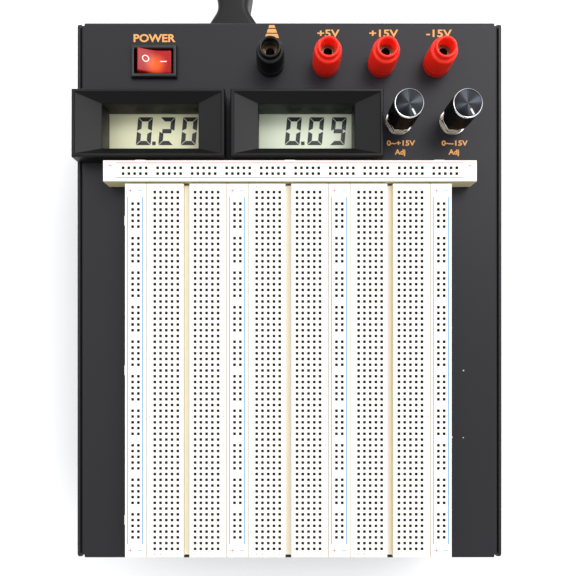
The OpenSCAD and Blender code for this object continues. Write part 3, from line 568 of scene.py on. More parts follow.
def piece(name: str, build: Build, finish: Finish, smooth: bool = True) -> bpy.types.Object:
    """Makes a mesh object at the origin with outward faces.

    Args:
        name: the piece's name.
        build: its points and faces.
        finish: the finish that it wears.
        smooth: whether its faces are shaded smooth up to a sharp angle.

    Returns:
        The object.
    """
    mesh = bpy.data.meshes.new(name)
    mesh.from_pydata([tuple(p) for p in build[0]], [], build[1])
    work = bmesh.new()
    work.from_mesh(mesh)
    bmesh.ops.remove_doubles(work, verts=work.verts, dist=1e-7)
    bmesh.ops.recalc_face_normals(work, faces=work.faces)
    work.to_mesh(mesh)
    work.free()
    mesh.materials.append(finish.material())
    made = bpy.data.objects.new(name, mesh)
    bpy.context.scene.collection.objects.link(made)
    if smooth:
        mesh.shade_smooth()
        mesh.set_sharp_from_angle(angle=math.radians(32))
    return made


def rounded(made: bpy.types.Object, width: float, segments: int = 3) -> bpy.types.Object:
    """Rounds a piece's sharp edges and bakes the rounding into its mesh.

    Args:
        made: the piece.
        width: the rounding's width.
        segments: its number of steps.

    Returns:
        The same piece.
    """
    bevel = made.modifiers.new("edges", "BEVEL")
    bevel.width = width
    bevel.segments = segments
    bevel.limit_method = "ANGLE"
    bevel.angle_limit = math.radians(28)
    bevel.harden_normals = False
    return settled(made)


def settled(made: bpy.types.Object) -> bpy.types.Object:
    """Turns a piece's live modifiers into plain mesh.

    Args:
        made: the piece.

    Returns:
        The same piece, with no modifiers.
    """
    bpy.context.view_layer.update()
    shown = made.evaluated_get(bpy.context.evaluated_depsgraph_get())
    mesh = bpy.data.meshes.new_from_object(shown)
    mesh.name = made.name
    made.modifiers.clear()
    made.data = mesh
    mesh.shade_smooth()
    mesh.set_sharp_from_angle(angle=math.radians(32))
    return made


def joined(parts: Iterable[Build]) -> Build:
    """Puts several builds into one.

    Args:
        parts: the builds.

    Returns:
        One build of all of them.
    """
    points: list[Point] = []
    faces: list[tuple[int, ...]] = []
    for some_points, some_faces in parts:
        start = len(points)
        points.extend(some_points)
        faces.extend(tuple(i + start for i in f) for f in some_faces)
    return points, faces


def moved(build: Build, matrix: Matrix) -> Build:
    """Places a build.

    Args:
        build: the build.
        matrix: where it goes.

    Returns:
        The placed build.
    """
    return [tuple(matrix @ Vector(p)) for p in build[0]], build[1]


def stacked(loops: Sequence[Sequence[Point]], closed: bool = False) -> Build:
    """Skins a row of loops that all have the same number of points.

    Args:
        loops: the loops, in order.
        closed: whether the last loop joins the first; if not, both ends are capped.

    Returns:
        The skin.
    """
    size = len(loops[0])
    points = [tuple(p) for loop in loops for p in loop]
    faces: list[tuple[int, ...]] = []
    count = len(loops)
    for i in range(count if closed else count - 1):
        j = (i + 1) % count
        for k in range(size):
            n = (k + 1) % size
            faces.append((i * size + k, i * size + n, j * size + n, j * size + k))
    if not closed:
        faces.append(tuple(range(size)))
        faces.append(tuple((count - 1) * size + k for k in range(size)))
    return points, faces


def lathe(profile: Sequence[tuple[float, float]], centre: Point, steps: int = 64) -> Build:
    """Turns a closed outline of radius and height about an upright axis.

    Args:
        profile: radius and height of the outline's points.
        centre: the axis's foot.
        steps: number of steps around.

    Returns:
        The turned ring.
    """
    loops = []
    for k in range(steps):
        angle = 2 * math.pi * k / steps
        loops.append([(centre[0] + r * math.cos(angle), centre[1] + r * math.sin(angle), centre[2] + z)
                      for r, z in profile])
    return stacked(loops, closed=True)


def turned(profile: Sequence[tuple[float, float]], centre: Point, steps: int = 64) -> Build:
    """Turns an open outline whose two ends are capped.

    Args:
        profile: radius and height, from one end to the other.
        centre: the axis's foot.
        steps: number of steps around.

    Returns:
        The solid of revolution.
    """
    angles = [2 * math.pi * k / steps for k in range(steps)]
    loops = [[(centre[0] + r * math.cos(a), centre[1] + r * math.sin(a), centre[2] + z) for a in angles]
             for r, z in profile]
    return stacked(loops)


def box(low: Point, high: Point) -> Build:
    """Makes a box between two corners.

    Args:
        low: the lowest corner.
        high: the highest corner.

    Returns:
        The box.
    """
    ring = [(low[0], low[1]), (high[0], low[1]), (high[0], high[1]), (low[0], high[1])]
    return stacked([[(x, y, z) for x, y in ring] for z in (low[2], high[2])])


def frame_loop(centre: Point, width: float, depth: float, height: float) -> list[Point]:
    """Makes a rectangular loop around a centre.

    Args:
        centre: the centre, whose height the loop's height adds to.
        width: its size along X.
        depth: its size along Y.
        height: its height over the centre.

    Returns:
        Four points.
    """
    x, y, z = centre[0], centre[1], centre[2] + height
    w, d = width / 2, depth / 2
    return [(x - w, y - d, z), (x + w, y - d, z), (x + w, y + d, z), (x - w, y + d, z)]


def lettering(words: str, size: float, centre: Point, turn: float = 0.0, width: float = 1.0,
              weight: float = 0.0, raise_by: float = 0.02 * MM) -> Build:
    """Makes printed characters as a very thin layer.

    Args:
        words: the characters.
        size: the height of a capital letter.
        centre: where the middle of the print lies, on the surface.
        turn: turn about the upright axis, in degrees.
        width: how much wider than usual the characters are.
        weight: how far the strokes are thickened.
        raise_by: thickness of the ink.

    Returns:
        The characters' mesh.
    """
    curve = bpy.data.curves.new("letters", "FONT")
    curve.body = words
    curve.align_x = "CENTER"
    curve.align_y = "CENTER"
    curve.size = size * 1.37
    curve.resolution_u = 3
    curve.offset = weight
    holder = bpy.data.objects.new("letters", curve)
    bpy.context.scene.collection.objects.link(holder)
    bpy.context.view_layer.update()
    mesh = bpy.data.meshes.new_from_object(holder.evaluated_get(bpy.context.evaluated_depsgraph_get()))
    work = bmesh.new()
    work.from_mesh(mesh)
    bmesh.ops.remove_doubles(work, verts=work.verts, dist=size * 0.002)
    xs = [v.co.x for v in work.verts]
    ys = [v.co.y for v in work.verts]
    middle = Vector(((min(xs) + max(xs)) / 2, (min(ys) + max(ys)) / 2, 0))
    place = (Matrix.Translation(Vector(centre)) @ Matrix.Rotation(math.radians(turn), 4, "Z")
             @ Matrix.Diagonal((width, 1, 1, 1)) @ Matrix.Translation(-middle))
    walls = bmesh.ops.extrude_face_region(work, geom=list(work.faces))
    top = [g for g in walls["geom"] if isinstance(g, bmesh.types.BMVert)]
    bmesh.ops.translate(work, verts=top, vec=(0, 0, raise_by))
    work.verts.index_update()
    points = [tuple(place @ v.co) for v in work.verts]
    faces = [tuple(v.index for v in f.verts) for f in work.faces]
    work.free()
    bpy.data.objects.remove(holder)
    bpy.data.curves.remove(curve)
    bpy.data.meshes.remove(mesh)
    return points, faces


def middle_of(node: str) -> Point:
    """Gives the middle of a node's box, at its lowest height."""
    low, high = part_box(node)
    return ((low[0] + high[0]) / 2, (low[1] + high[1]) / 2, low[2])


def dress(node: str, finish: Finish) -> None:
    """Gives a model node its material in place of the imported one."""
    materials = frame["nodes"][node].data.materials
    materials.clear()
    materials.append(finish.material())


def place_on(made: bpy.types.Object, body: str, slot: str, *nodes: str) -> bpy.types.Object:
    """Attaches a piece to the body that it rides on and hides the model's nodes that it replaces.

    Args:
        made: the piece.
        body: the body that it moves with.
        slot: the record's material slot; not used.
        nodes: the model's nodes that it replaces.

    Returns:
        The same piece.
    """
    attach(made, body)
    if nodes:
        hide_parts(*nodes)
    log.info("piece %s rides on %s, %d faces", made.name, body, len(getattr(made.data, "polygons", [])))
    return made


# ---------------------------------------------------------------- geometry-node trees


class NodeTool:
    """A geometry-node tree with named inputs, run on a mesh and turned into plain mesh."""

    def __init__(self, name: str, inputs: dict[str, tuple[str, object]]) -> None:
        """Makes the tree's sockets.

        Args:
            name: the tree's name.
            inputs: for each named input, its socket type and default value.
        """
        self.tree = bpy.data.node_groups.new(name, "GeometryNodeTree")
        self.ids: dict[str, str] = {}
        face = self.tree.interface
        face.new_socket("Geometry", in_out="INPUT", socket_type="NodeSocketGeometry")
        for label, (kind, value) in inputs.items():
            socket = face.new_socket(label, in_out="INPUT", socket_type=kind)
            if value is not None:
                socket.default_value = value
            self.ids[label] = socket.identifier
        face.new_socket("Geometry", in_out="OUTPUT", socket_type="NodeSocketGeometry")
        self.source = self.tree.nodes.new("NodeGroupInput")
        self.result = self.tree.nodes.new("NodeGroupOutput")

    def node(self, kind: str, **links: object) -> bpy.types.Node:
        """Adds a node and fills its inputs.

        Args:
            kind: the node's type.
            links: input names, with underscores for spaces, and sockets or values.

        Returns:
            The node.
        """
        made = self.tree.nodes.new(kind)
        for label, value in links.items():
            socket = made.inputs[label.replace("_", " ")]
            if isinstance(value, bpy.types.NodeSocket):
                self.tree.links.new(value, socket)
            else:
                socket.default_value = value
        return made

    def run(self, made: bpy.types.Object, values: dict[str, object]) -> bpy.types.Object:
        """Runs the tree on a piece and keeps the result as plain mesh.

        Args:
            made: the piece.
            values: the tree's input values by name.

        Returns:
            The same piece.
        """
        modifier = made.modifiers.new(self.tree.name, "NODES")
        modifier.node_group = self.tree
        for label, value in values.items():
            modifier[self.ids[label]] = value
        return settled(made)


class Perforator(NodeTool):
    """Sinks a chamfered square hole into every face that is marked as a tie point."""

    def __init__(self) -> None:
        """Builds the tree: inset, chamfer, then walls and floor in a dark material."""
        super().__init__("tie_point_holes", {
            "Mouth share": ("NodeSocketFloat", 0.6), "Hole share": ("NodeSocketFloat", 0.72),
            "Chamfer": ("NodeSocketFloat", 0.0002), "Depth": ("NodeSocketFloat", 0.0016),
            "Body": ("NodeSocketMaterial", None), "Shadow": ("NodeSocketMaterial", None)})
        inputs = self.source.outputs
        marked = self.node("GeometryNodeInputNamedAttribute", Name="tie_point")
        marked.data_type = "BOOLEAN"
        marked_out = next(s for s in marked.outputs if s.enabled and s.name == "Attribute")
        painted = self.node("GeometryNodeSetMaterial", Geometry=inputs["Geometry"], Material=inputs["Body"])
        lip = self._sink(painted.outputs[0], marked_out, 0.0)
        lip_scaled = self.node("GeometryNodeScaleElements", Geometry=lip.outputs["Mesh"],
                               Selection=lip.outputs["Top"], Scale=inputs["Mouth share"])
        drop = self.node("ShaderNodeMath", Value=inputs["Chamfer"])
        drop.operation = "MULTIPLY"
        drop.inputs[1].default_value = -1.0
        cone = self._sink(lip_scaled.outputs[0], lip.outputs["Top"], drop.outputs[0])
        cone_scaled = self.node("GeometryNodeScaleElements", Geometry=cone.outputs["Mesh"],
                                Selection=cone.outputs["Top"], Scale=inputs["Hole share"])
        deep = self.node("ShaderNodeMath", Value=inputs["Depth"])
        deep.operation = "MULTIPLY"
        deep.inputs[1].default_value = -1.0
        well = self._sink(cone_scaled.outputs[0], cone.outputs["Top"], deep.outputs[0])
        inside = self.node("FunctionNodeBooleanMath")
        inside.operation = "OR"
        self.tree.links.new(well.outputs["Top"], inside.inputs[0])
        self.tree.links.new(well.outputs["Side"], inside.inputs[1])
        real = self.node("GeometryNodeRealizeInstances", Geometry=well.outputs["Mesh"])
        dark = self.node("GeometryNodeSetMaterial", Geometry=real.outputs[0], Selection=inside.outputs[0],
                         Material=inputs["Shadow"])
        self.tree.links.new(dark.outputs[0], self.result.inputs[0])

    def _sink(self, mesh: bpy.types.NodeSocket, chosen: bpy.types.NodeSocket,
              depth: object) -> bpy.types.Node:
        """Extrudes each chosen face by itself.

        Args:
            mesh: the mesh.
            chosen: the faces to move.
            depth: how far along their normals.

        Returns:
            The extrude node.
        """
        made = self.node("GeometryNodeExtrudeMesh", Mesh=mesh, Selection=chosen, Offset_Scale=depth)
        made.mode = "FACES"
        made.inputs["Individual"].default_value = True
        return made


class RibRing(NodeTool):
    """Sets a ring of thin upright ribs around an axis, such as a knob's knurl."""

    def __init__(self) -> None:
        """Builds the tree: points on a circle, a rib on each, turned to face outwards."""
        super().__init__("rib_ring", {
            "Count": ("NodeSocketInt", 60), "Radius": ("NodeSocketFloat", 0.006),
            "Rib": ("NodeSocketVector", (0.0004, 0.0003, 0.008)),
            "Centre": ("NodeSocketVector", (0.0, 0.0, 0.0)), "Finish": ("NodeSocketMaterial", None)})
        inputs = self.source.outputs
        circle = self.node("GeometryNodeMeshCircle", Vertices=inputs["Count"], Radius=inputs["Radius"])
        rib = self.node("GeometryNodeMeshCube", Size=inputs["Rib"])
        place = self.node("GeometryNodeInputIndex")
        step = self.node("ShaderNodeMath")
        step.operation = "DIVIDE"
        step.inputs[0].default_value = 2 * math.pi
        self.tree.links.new(inputs["Count"], step.inputs[1])
        angle = self.node("ShaderNodeMath")
        angle.operation = "MULTIPLY"
        self.tree.links.new(place.outputs[0], angle.inputs[0])
        self.tree.links.new(step.outputs[0], angle.inputs[1])
        turn = self.node("ShaderNodeCombineXYZ", Z=angle.outputs[0])
        ribs = self.node("GeometryNodeInstanceOnPoints", Points=circle.outputs[0],
                         Instance=rib.outputs["Mesh"], Rotation=turn.outputs[0])
        shifted = self.node("GeometryNodeTransform", Geometry=ribs.outputs[0], Translation=inputs["Centre"])
        real = self.node("GeometryNodeRealizeInstances", Geometry=shifted.outputs[0])
        painted = self.node("GeometryNodeSetMaterial", Geometry=real.outputs[0], Material=inputs["Finish"])
        both = self.node("GeometryNodeJoinGeometry")
        self.tree.links.new(painted.outputs[0], both.inputs[0])
        self.tree.links.new(inputs["Geometry"], both.inputs[0])
        self.tree.links.new(both.outputs[0], self.result.inputs[0])


# ---------------------------------------------------------------- studio


@dataclass
class Studio:
    """Floor, lights and camera: the camera looks straight down on the panel."""

    eye: Point = (-0.0050, -0.0221, 0.296)
    lens_share: float = 0.8577
    shift: tuple[float, float] = (0.0163, 0.0816)
    levels: tuple[tuple[float, float], ...] = (
        (0.0, 0.15), (0.2, 0.25), (0.5, 0.8), (0.85, 0.95), (0.98, 0.4))
    surround: float = 1.5
    side_bias: float = 0.25
    rear_bias: float = 0.45
    key: float = 9.5
    fill: float = 3.0

    def build(self) -> None:
        """Makes the camera, the floor and the lights."""
        scene = bpy.context.scene
        camera = bpy.data.cameras.new("camera")
        camera.sensor_width = 36.0
        camera.lens = 36.0 * self.lens_share
        camera.shift_x, camera.shift_y = self.shift
        camera.clip_start = 0.01
        holder = bpy.data.objects.new("camera", camera)
        holder.location = self.eye
        scene.collection.objects.link(holder)
        scene.camera = holder
        scene.view_settings.view_transform = "Standard"
        self.floor()
        self.lights()

    def floor(self) -> None:
        """Lays a pale floor under the feet."""
        floor = piece("floor", box((-3.0, -3.0, -0.02), (3.0, 3.0, 0.0)),
                      Finish("floor_paper", "fbfbfb", "f7f7f8", 0.85, grain=60.0, bump=0.0), smooth=False)

    def lights(self) -> None:
        """Hangs soft panels of light and a pale surround."""
        world = bpy.data.worlds.new("surround")
        bpy.context.scene.world = world
        world.use_nodes = True
        tree = world.node_tree
        back = tree.nodes["Background"]
        split = tree.nodes.new("ShaderNodeSeparateXYZ")
        tree.links.new(tree.nodes.new("ShaderNodeTexCoord").outputs["Generated"], split.inputs[0])
        ramp = tree.nodes.new("ShaderNodeValToRGB")
        stops = ramp.color_ramp.elements
        for place, level in self.levels[1:-1]:
            stops.new(place)
        for stop, (place, level) in zip(stops, self.levels):
            stop.position = place
            stop.color = (level * 0.985, level * 0.99, level, 1.0)
        tree.links.new(split.outputs["Z"], ramp.inputs[0])
        tree.links.new(ramp.outputs[0], back.inputs["Color"])
        base = self.surround
        side = math_node(tree, "MULTIPLY_ADD", split.outputs["X"], self.side_bias * base, base)
        both = math_node(tree, "MULTIPLY_ADD", split.outputs["Y"], self.rear_bias * base, side)
        tree.links.new(both, back.inputs["Strength"])
        lamps = (("key", (0.6, 0.75, 1.1), 0.9, self.key), ("fill", (-0.9, 0.1, 1.0), 1.1, self.fill))
        for name, place, size, power in lamps:
            lamp = bpy.data.lights.new(name, "AREA")
            lamp.size = size
            lamp.energy = power
            holder = bpy.data.objects.new(name, lamp)
            holder.location = place
            holder.rotation_euler = (Vector(place) * -1).to_track_quat("-Z", "Y").to_euler()
            bpy.context.scene.collection.objects.link(holder)


# ---------------------------------------------------------------- mains lead


@dataclass
class MainsLead:
    """Detachable mains lead: connector, cord wound into a coil, strap and plug."""

    diameter: float = 7 * MM
    length: float = 1.5
    turn_r: float = 35.5 * MM
    coil_turns: float = 6.25
    body_l: float = 42 * MM
    relief_l: float = 24 * MM
    tie_t: float = 0.8 * MM
    route_steps: tuple[tuple[float, float], ...] = (
        (0, 0), (6, 0), (13, 0.02), (20, 0.09), (26, 0.2), (31, 0.34), (34.6, 0.5),
        (38.2, 0.66), (43.2, 0.8), (49.2, 0.91), (56.2, 0.98), (63, 1))
    outline: tuple[tuple[float, float], ...] = (
        (0, 13.5), (6, 13.5), (9, 12.6), (13, 10.2), (16, 8.3), (19, 7.7),
        (24, 8.4), (30, 9.4), (36, 9), (40, 7), (42, 5))

    def build(self) -> None:
        low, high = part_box("mains_connector")
        tube_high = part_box("cord_tube")[1]
        self.x = (low[0] + high[0]) / 2
        self.z = tube_high[2] - self.diameter / 2
        self.exit = (self.x, high[1], self.z)
        self.front = self.exit[1] - self.relief_l - self.body_l
        connector = self.connector()
        plug = self.plug()
        tie = self.tie()
        cord = self.cord()
        place_on(connector, "root", "cord_plastic", "mains_connector")
        place_on(plug, "root", "cord_plastic", "mains_plug")
        place_on(tie, "root", "tie_plastic", "cord_tie")
        place_on(cord, "root", "cord_plastic", "cord_tube", "cord_coil")

    def route(self) -> list[Point]:
        """Works out the cord's centre line.

        Returns:
            Its points: the drop to the floor, the coil's turns and the straight end at the plug.
        """
        d = self.diameter
        drop = self.z - d / 2
        points = [(self.x, self.exit[1] + a * MM, self.z - s * drop) for a, s in self.route_steps]
        coil_low, coil_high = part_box("cord_coil")
        cx, cy = (coil_low[0] + coil_high[0]) / 2, (coil_low[1] + coil_high[1]) / 2
        outer = self.turn_r + d
        base = d / 2 + self.tie_t
        turns = (outer, outer - d, outer - 2 * d, outer - 2 * d, outer - d, outer, outer)
        per_turn = 40
        shift_part = 0.5
        for i in range(int(self.coil_turns * per_turn) + 1):
            along = i / per_turn
            turn = min(int(along), 6)
            part = along - turn
            now, after = turns[turn], turns[min(turn + 1, 6)]
            ease = max(0.0, (part - (1 - shift_part)) / shift_part)
            ease = ease * ease * (3 - 2 * ease)
            r = now + (after - now) * ease
            z = base + (d if turn > 2 else (d * ease if turn == 2 else 0.0))
            z -= self.tie_t * max(0.0, 1 - along * 6)
            angle = math.pi - 2 * math.pi * along
            points.append((cx + r * math.cos(angle), cy + r * math.sin(angle), z))
        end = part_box("mains_plug")[0]
        last = points[-1]
        for share in (0.35, 0.7, 1.0, 1.25):
            points.append((last[0] + (end[0] - last[0]) * share, last[1],
                           last[2] + (self.plug_z() - last[2]) * min(1.0, share)))
        return points

    def plug_z(self) -> float:
        """Gives the height of the plug's axis over the floor."""
        low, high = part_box("mains_plug")
        return (low[2] + high[2]) / 2

    def cord(self) -> bpy.types.Object:
        """Makes the cord as one curve.

        Returns:
            The cord.
        """
        curve = bpy.data.curves.new("mains_cord", "CURVE")
        curve.dimensions = "3D"
        curve.bevel_depth = self.diameter / 2
        curve.bevel_resolution = 4
        curve.use_fill_caps = True
        spline = curve.splines.new("POLY")
        points = self.route()
        spline.points.add(len(points) - 1)
        for spot, place in zip(spline.points, points):
            spot.co = (*place, 1.0)
        spline.use_smooth = True
        curve.materials.append(CORD.material())
        made = bpy.data.objects.new("mains_cord", curve)
        bpy.context.scene.collection.objects.link(made)
        return made

    def connector(self) -> bpy.types.Object:
        """Makes the moulded connector with its waisted grip and ribbed strain relief.

        Returns:
            The connector.
        """
        loops = []
        for along, half in self.smoothed(self.outline, 4):
            tall = 9.5 if along < 30 else 9.5 - (along - 30) * 0.36
            loops.append(self.oval((self.x, self.front + along * MM, self.z), half * MM, tall * MM, 0.45))
        for k in range(9):
            groove = 0.55 if k % 2 else 0.0
            r = (5.0 - 1.1 * k / 8 - groove) * MM
            y = self.front + self.body_l + self.relief_l * k / 8
            loops.append(self.oval((self.x, y, self.z), r, r, 1.0))
        parts = [stacked(loops)]
        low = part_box("mains_connector")[0]
        face = [(-12, -7.9), (12, -7.9), (12, 3.6), (7.8, 7.9), (-7.8, 7.9), (-12, 3.6)]
        parts.append(stacked([[(self.x + a * MM, y, self.z + b * MM) for a, b in face]
                              for y in (low[1], self.front + 1 * MM)]))
        return rounded(piece("connector_moulding", joined(parts), CORD), 0.5 * MM, 2)

    @staticmethod
    def smoothed(outline: Sequence[tuple[float, float]], steps: int) -> list[tuple[float, float]]:
        """Rounds an outline by a curve that passes through its points.

        Args:
            outline: distance and half width of each point.
            steps: how many pieces each stretch is cut into.

        Returns:
            The finer outline.
        """
        finer = []
        last = len(outline) - 1
        for i in range(last):
            before, here = outline[max(i - 1, 0)], outline[i]
            after, then = outline[i + 1], outline[min(i + 2, last)]
            for k in range(steps):
                t = k / steps
                width = 0.5 * (2 * here[1] + (after[1] - before[1]) * t
                               + (2 * before[1] - 5 * here[1] + 4 * after[1] - then[1]) * t * t
                               + (3 * here[1] - before[1] - 3 * after[1] + then[1]) * t ** 3)
                finer.append((here[0] + (after[0] - here[0]) * t, min(width, outline[0][1])))
        return [*finer, outline[last]]

    @staticmethod
    def oval(centre: Point, half_w: float, half_h: float, corner: float, steps: int = 40) -> list[Point]:
        """Makes a rounded rectangle that looks along Y.

        Args:
            centre: its middle.
            half_w: half its width.
            half_h: half its height.
            corner: corner radius as a share of the smaller half; one gives round ends.
            steps: number of points, a multiple of four.

        Returns:
            The loop.
        """
        r = corner * min(half_w, half_h)
        loop = []
        for k in range(steps):
            quarter, part = divmod(k, steps // 4)
            angle = math.pi / 2 * (quarter + part / (steps // 4 - 1))
            sx = 1 if quarter in (0, 3) else -1
            sz = 1 if quarter in (0, 1) else -1
            loop.append((centre[0] + sx * (half_w - r) + r * math.cos(angle), centre[1],
                         centre[2] + sz * (half_h - r) + r * math.sin(angle)))
        return loop

    def plug(self) -> bpy.types.Object:
        """Makes the plug: tapered relief, grip with shoulders and three blades.

        Returns:
            The plug.
        """
        low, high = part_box("mains_plug")
        y, z = (low[1] + high[1]) / 2, self.plug_z()
        start = low[0]
        sections = [(0, 3.9, 3.9), (3, 4.6, 4.6), (5, 4.0, 4.0), (8, 4.7, 4.7), (10, 4.2, 4.2),
                    (13, 4.9, 4.9), (15, 4.4, 4.4), (19, 5.0, 5.0), (24, 7.5, 7.0), (28, 10.5, 9.2),
                    (34, 12.0, 10.4), (40, 11.2, 10.0), (48, 11.6, 10.4), (54, 13.0, 11.0), (58, 13.0, 11.0)]
        loops = []
        for along, half_w, half_h in sections:
            corner = 1.0 if along < 22 else 0.5
            loop = self.oval((0, 0, 0), half_w * MM, half_h * MM, corner)
            loops.append([(start + along * MM, y + p[0], z + p[2]) for p in loop])
        body = rounded(piece("plug_moulding", stacked(loops), CORD), 0.4 * MM, 2)
        face = start + 58 * MM
        blades = [box((face - 0.1 * MM, y + s * 6.35 * MM - 0.75 * MM, z - 3.2 * MM),
                      (face + 17 * MM, y + s * 6.35 * MM + 0.75 * MM, z + 3.2 * MM)) for s in (-1, 1)]
        flat = Matrix.Rotation(math.pi / 2, 4, "Y")
        at_face = Matrix.Translation((face - 0.1 * MM, y, z + 6 * MM)) @ flat
        rod = [(2.4 * MM, 0), (2.4 * MM, 18 * MM), (1.4 * MM, 20 * MM)]
        pin = moved(turned(rod, (0, 0, 0), 24), at_face)
        metal = rounded(piece("plug_blades", joined(blades + [pin]), BRASS), 0.3 * MM, 2)
        place_on(metal, "root", "brass")
        metal.parent = body
        return body

    def tie(self) -> bpy.types.Object:
        """Makes the strap around the coil.

        Returns:
            The strap.
        """
        coil_low, coil_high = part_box("cord_coil")
        cx, cy = (coil_low[0] + coil_high[0]) / 2, (coil_low[1] + coil_high[1]) / 2
        half_w = 1.5 * self.diameter + self.tie_t
        top = coil_high[2] + self.tie_t
        spin = Matrix.Translation((cx, cy, 0)) @ Matrix.Rotation(math.radians(-60), 4, "Z")
        loops = [self.oval((self.turn_r, y, top / 2), half_w + grow, top / 2 + grow, 0.45)
                 for y in (-3 * MM, 3 * MM) for grow in (0.0, -self.tie_t)]
        band = [loops[0], loops[2], loops[3], loops[1]]
        return piece("cord_strap", moved(stacked(band, closed=True), spin), TIE)


# ---------------------------------------------------------------- case


class Print(Enum):
    """What is printed on the panel, with the height of its capitals in millimetres."""

    POWER = ("POWER", 3.6)
    PLUS_5 = ("+5V", 3.4)
    PLUS_15 = ("+15V", 3.4)
    MINUS_15 = ("-15V", 3.4)
    PLUS_RANGE = ("0~+15V", 2.4)
    MINUS_RANGE = ("0~-15V", 2.4)
    ADJUST = ("Adj", 2.4)


@dataclass
class Case:
    """Folded case with its printed panel, screws and feet."""

    post_line: float = 14.0 * MM
    range_line: float = 9.6 * MM
    adjust_line: float = 14.1 * MM

    def build(self) -> None:
        """Dresses the sheet metal and prints the panel."""
        dress("top_cover", PANEL_PAINT)
        dress("base_tray", TRAY_PAINT)
        dress("case_screws", BLACK_SCREW)
        dress("foot_screws", ZINC)
        dress("rubber_feet", RUBBER)
        self.panel_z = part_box("top_cover")[1][2]
        place_on(self.prints(), "root", "panel_paint")

    def prints(self) -> bpy.types.Object:
        """Makes all the orange printing.

        Returns:
            The printed layer.
        """
        z = self.panel_z
        switch = middle_of("switch_housing")
        posts = [middle_of(name + "_post_cap") for name in ("ground", "plus5", "plus15", "minus15")]
        knobs = [middle_of(n) for n in ("plus_knob", "minus_knob")]
        parts = [self.word(Print.POWER, (switch[0], switch[1] + 11.3 * MM, z), 1.12, 0.00014)]
        for post, label in zip(posts[1:], (Print.PLUS_5, Print.PLUS_15, Print.MINUS_15)):
            parts.append(self.word(label, (post[0] + 1.2 * MM, post[1] + self.post_line, z), 1.3, 0.0001))
        for knob, label in zip(knobs, (Print.PLUS_RANGE, Print.MINUS_RANGE)):
            parts.append(self.word(label, (knob[0] + 1.1 * MM, knob[1] - self.range_line, z), 1.2, 0.00009))
            below = (knob[0] + 0.7 * MM, knob[1] - self.adjust_line, z)
            parts.append(self.word(Print.ADJUST, below, 1.05, 0.0001))
        parts.append(self.earth((posts[0][0] + 0.6 * MM, posts[0][1] + 11.9 * MM, z)))
        return piece("panel_printing", joined(parts), INK_ORANGE, smooth=False)

    @staticmethod
    def word(label: Print, centre: Point, width: float, weight: float) -> Build:
        """Prints one label.

        Args:
            label: the label.
            centre: its middle.
            width: how wide its characters are.
            weight: how far its strokes are thickened.

        Returns:
            Its mesh.
        """
        words, size = label.value
        return lettering(words, size * MM, centre, width=width, weight=weight)

    @staticmethod
    def earth(foot: Point) -> Build:
        """Draws the earth sign: thick bars that grow wider towards the post.

        Args:
            foot: the middle of the lowest bar.

        Returns:
            Its mesh.
        """
        parts = []
        for low, high, wide, narrow in ((0.0, 1.9, 3.3, 2.6), (2.4, 4.1, 2.4, 1.8), (4.6, 5.9, 1.6, 1.2)):
            ring = [(-wide, low), (wide, low), (narrow, high), (-narrow, high)]
            parts.append(stacked([[(foot[0] + x * MM, foot[1] + y * MM, foot[2] + z) for x, y in ring]
                                  for z in (0.0, 0.02 * MM)]))
        return joined(parts)


# ---------------------------------------------------------------- solderless boards


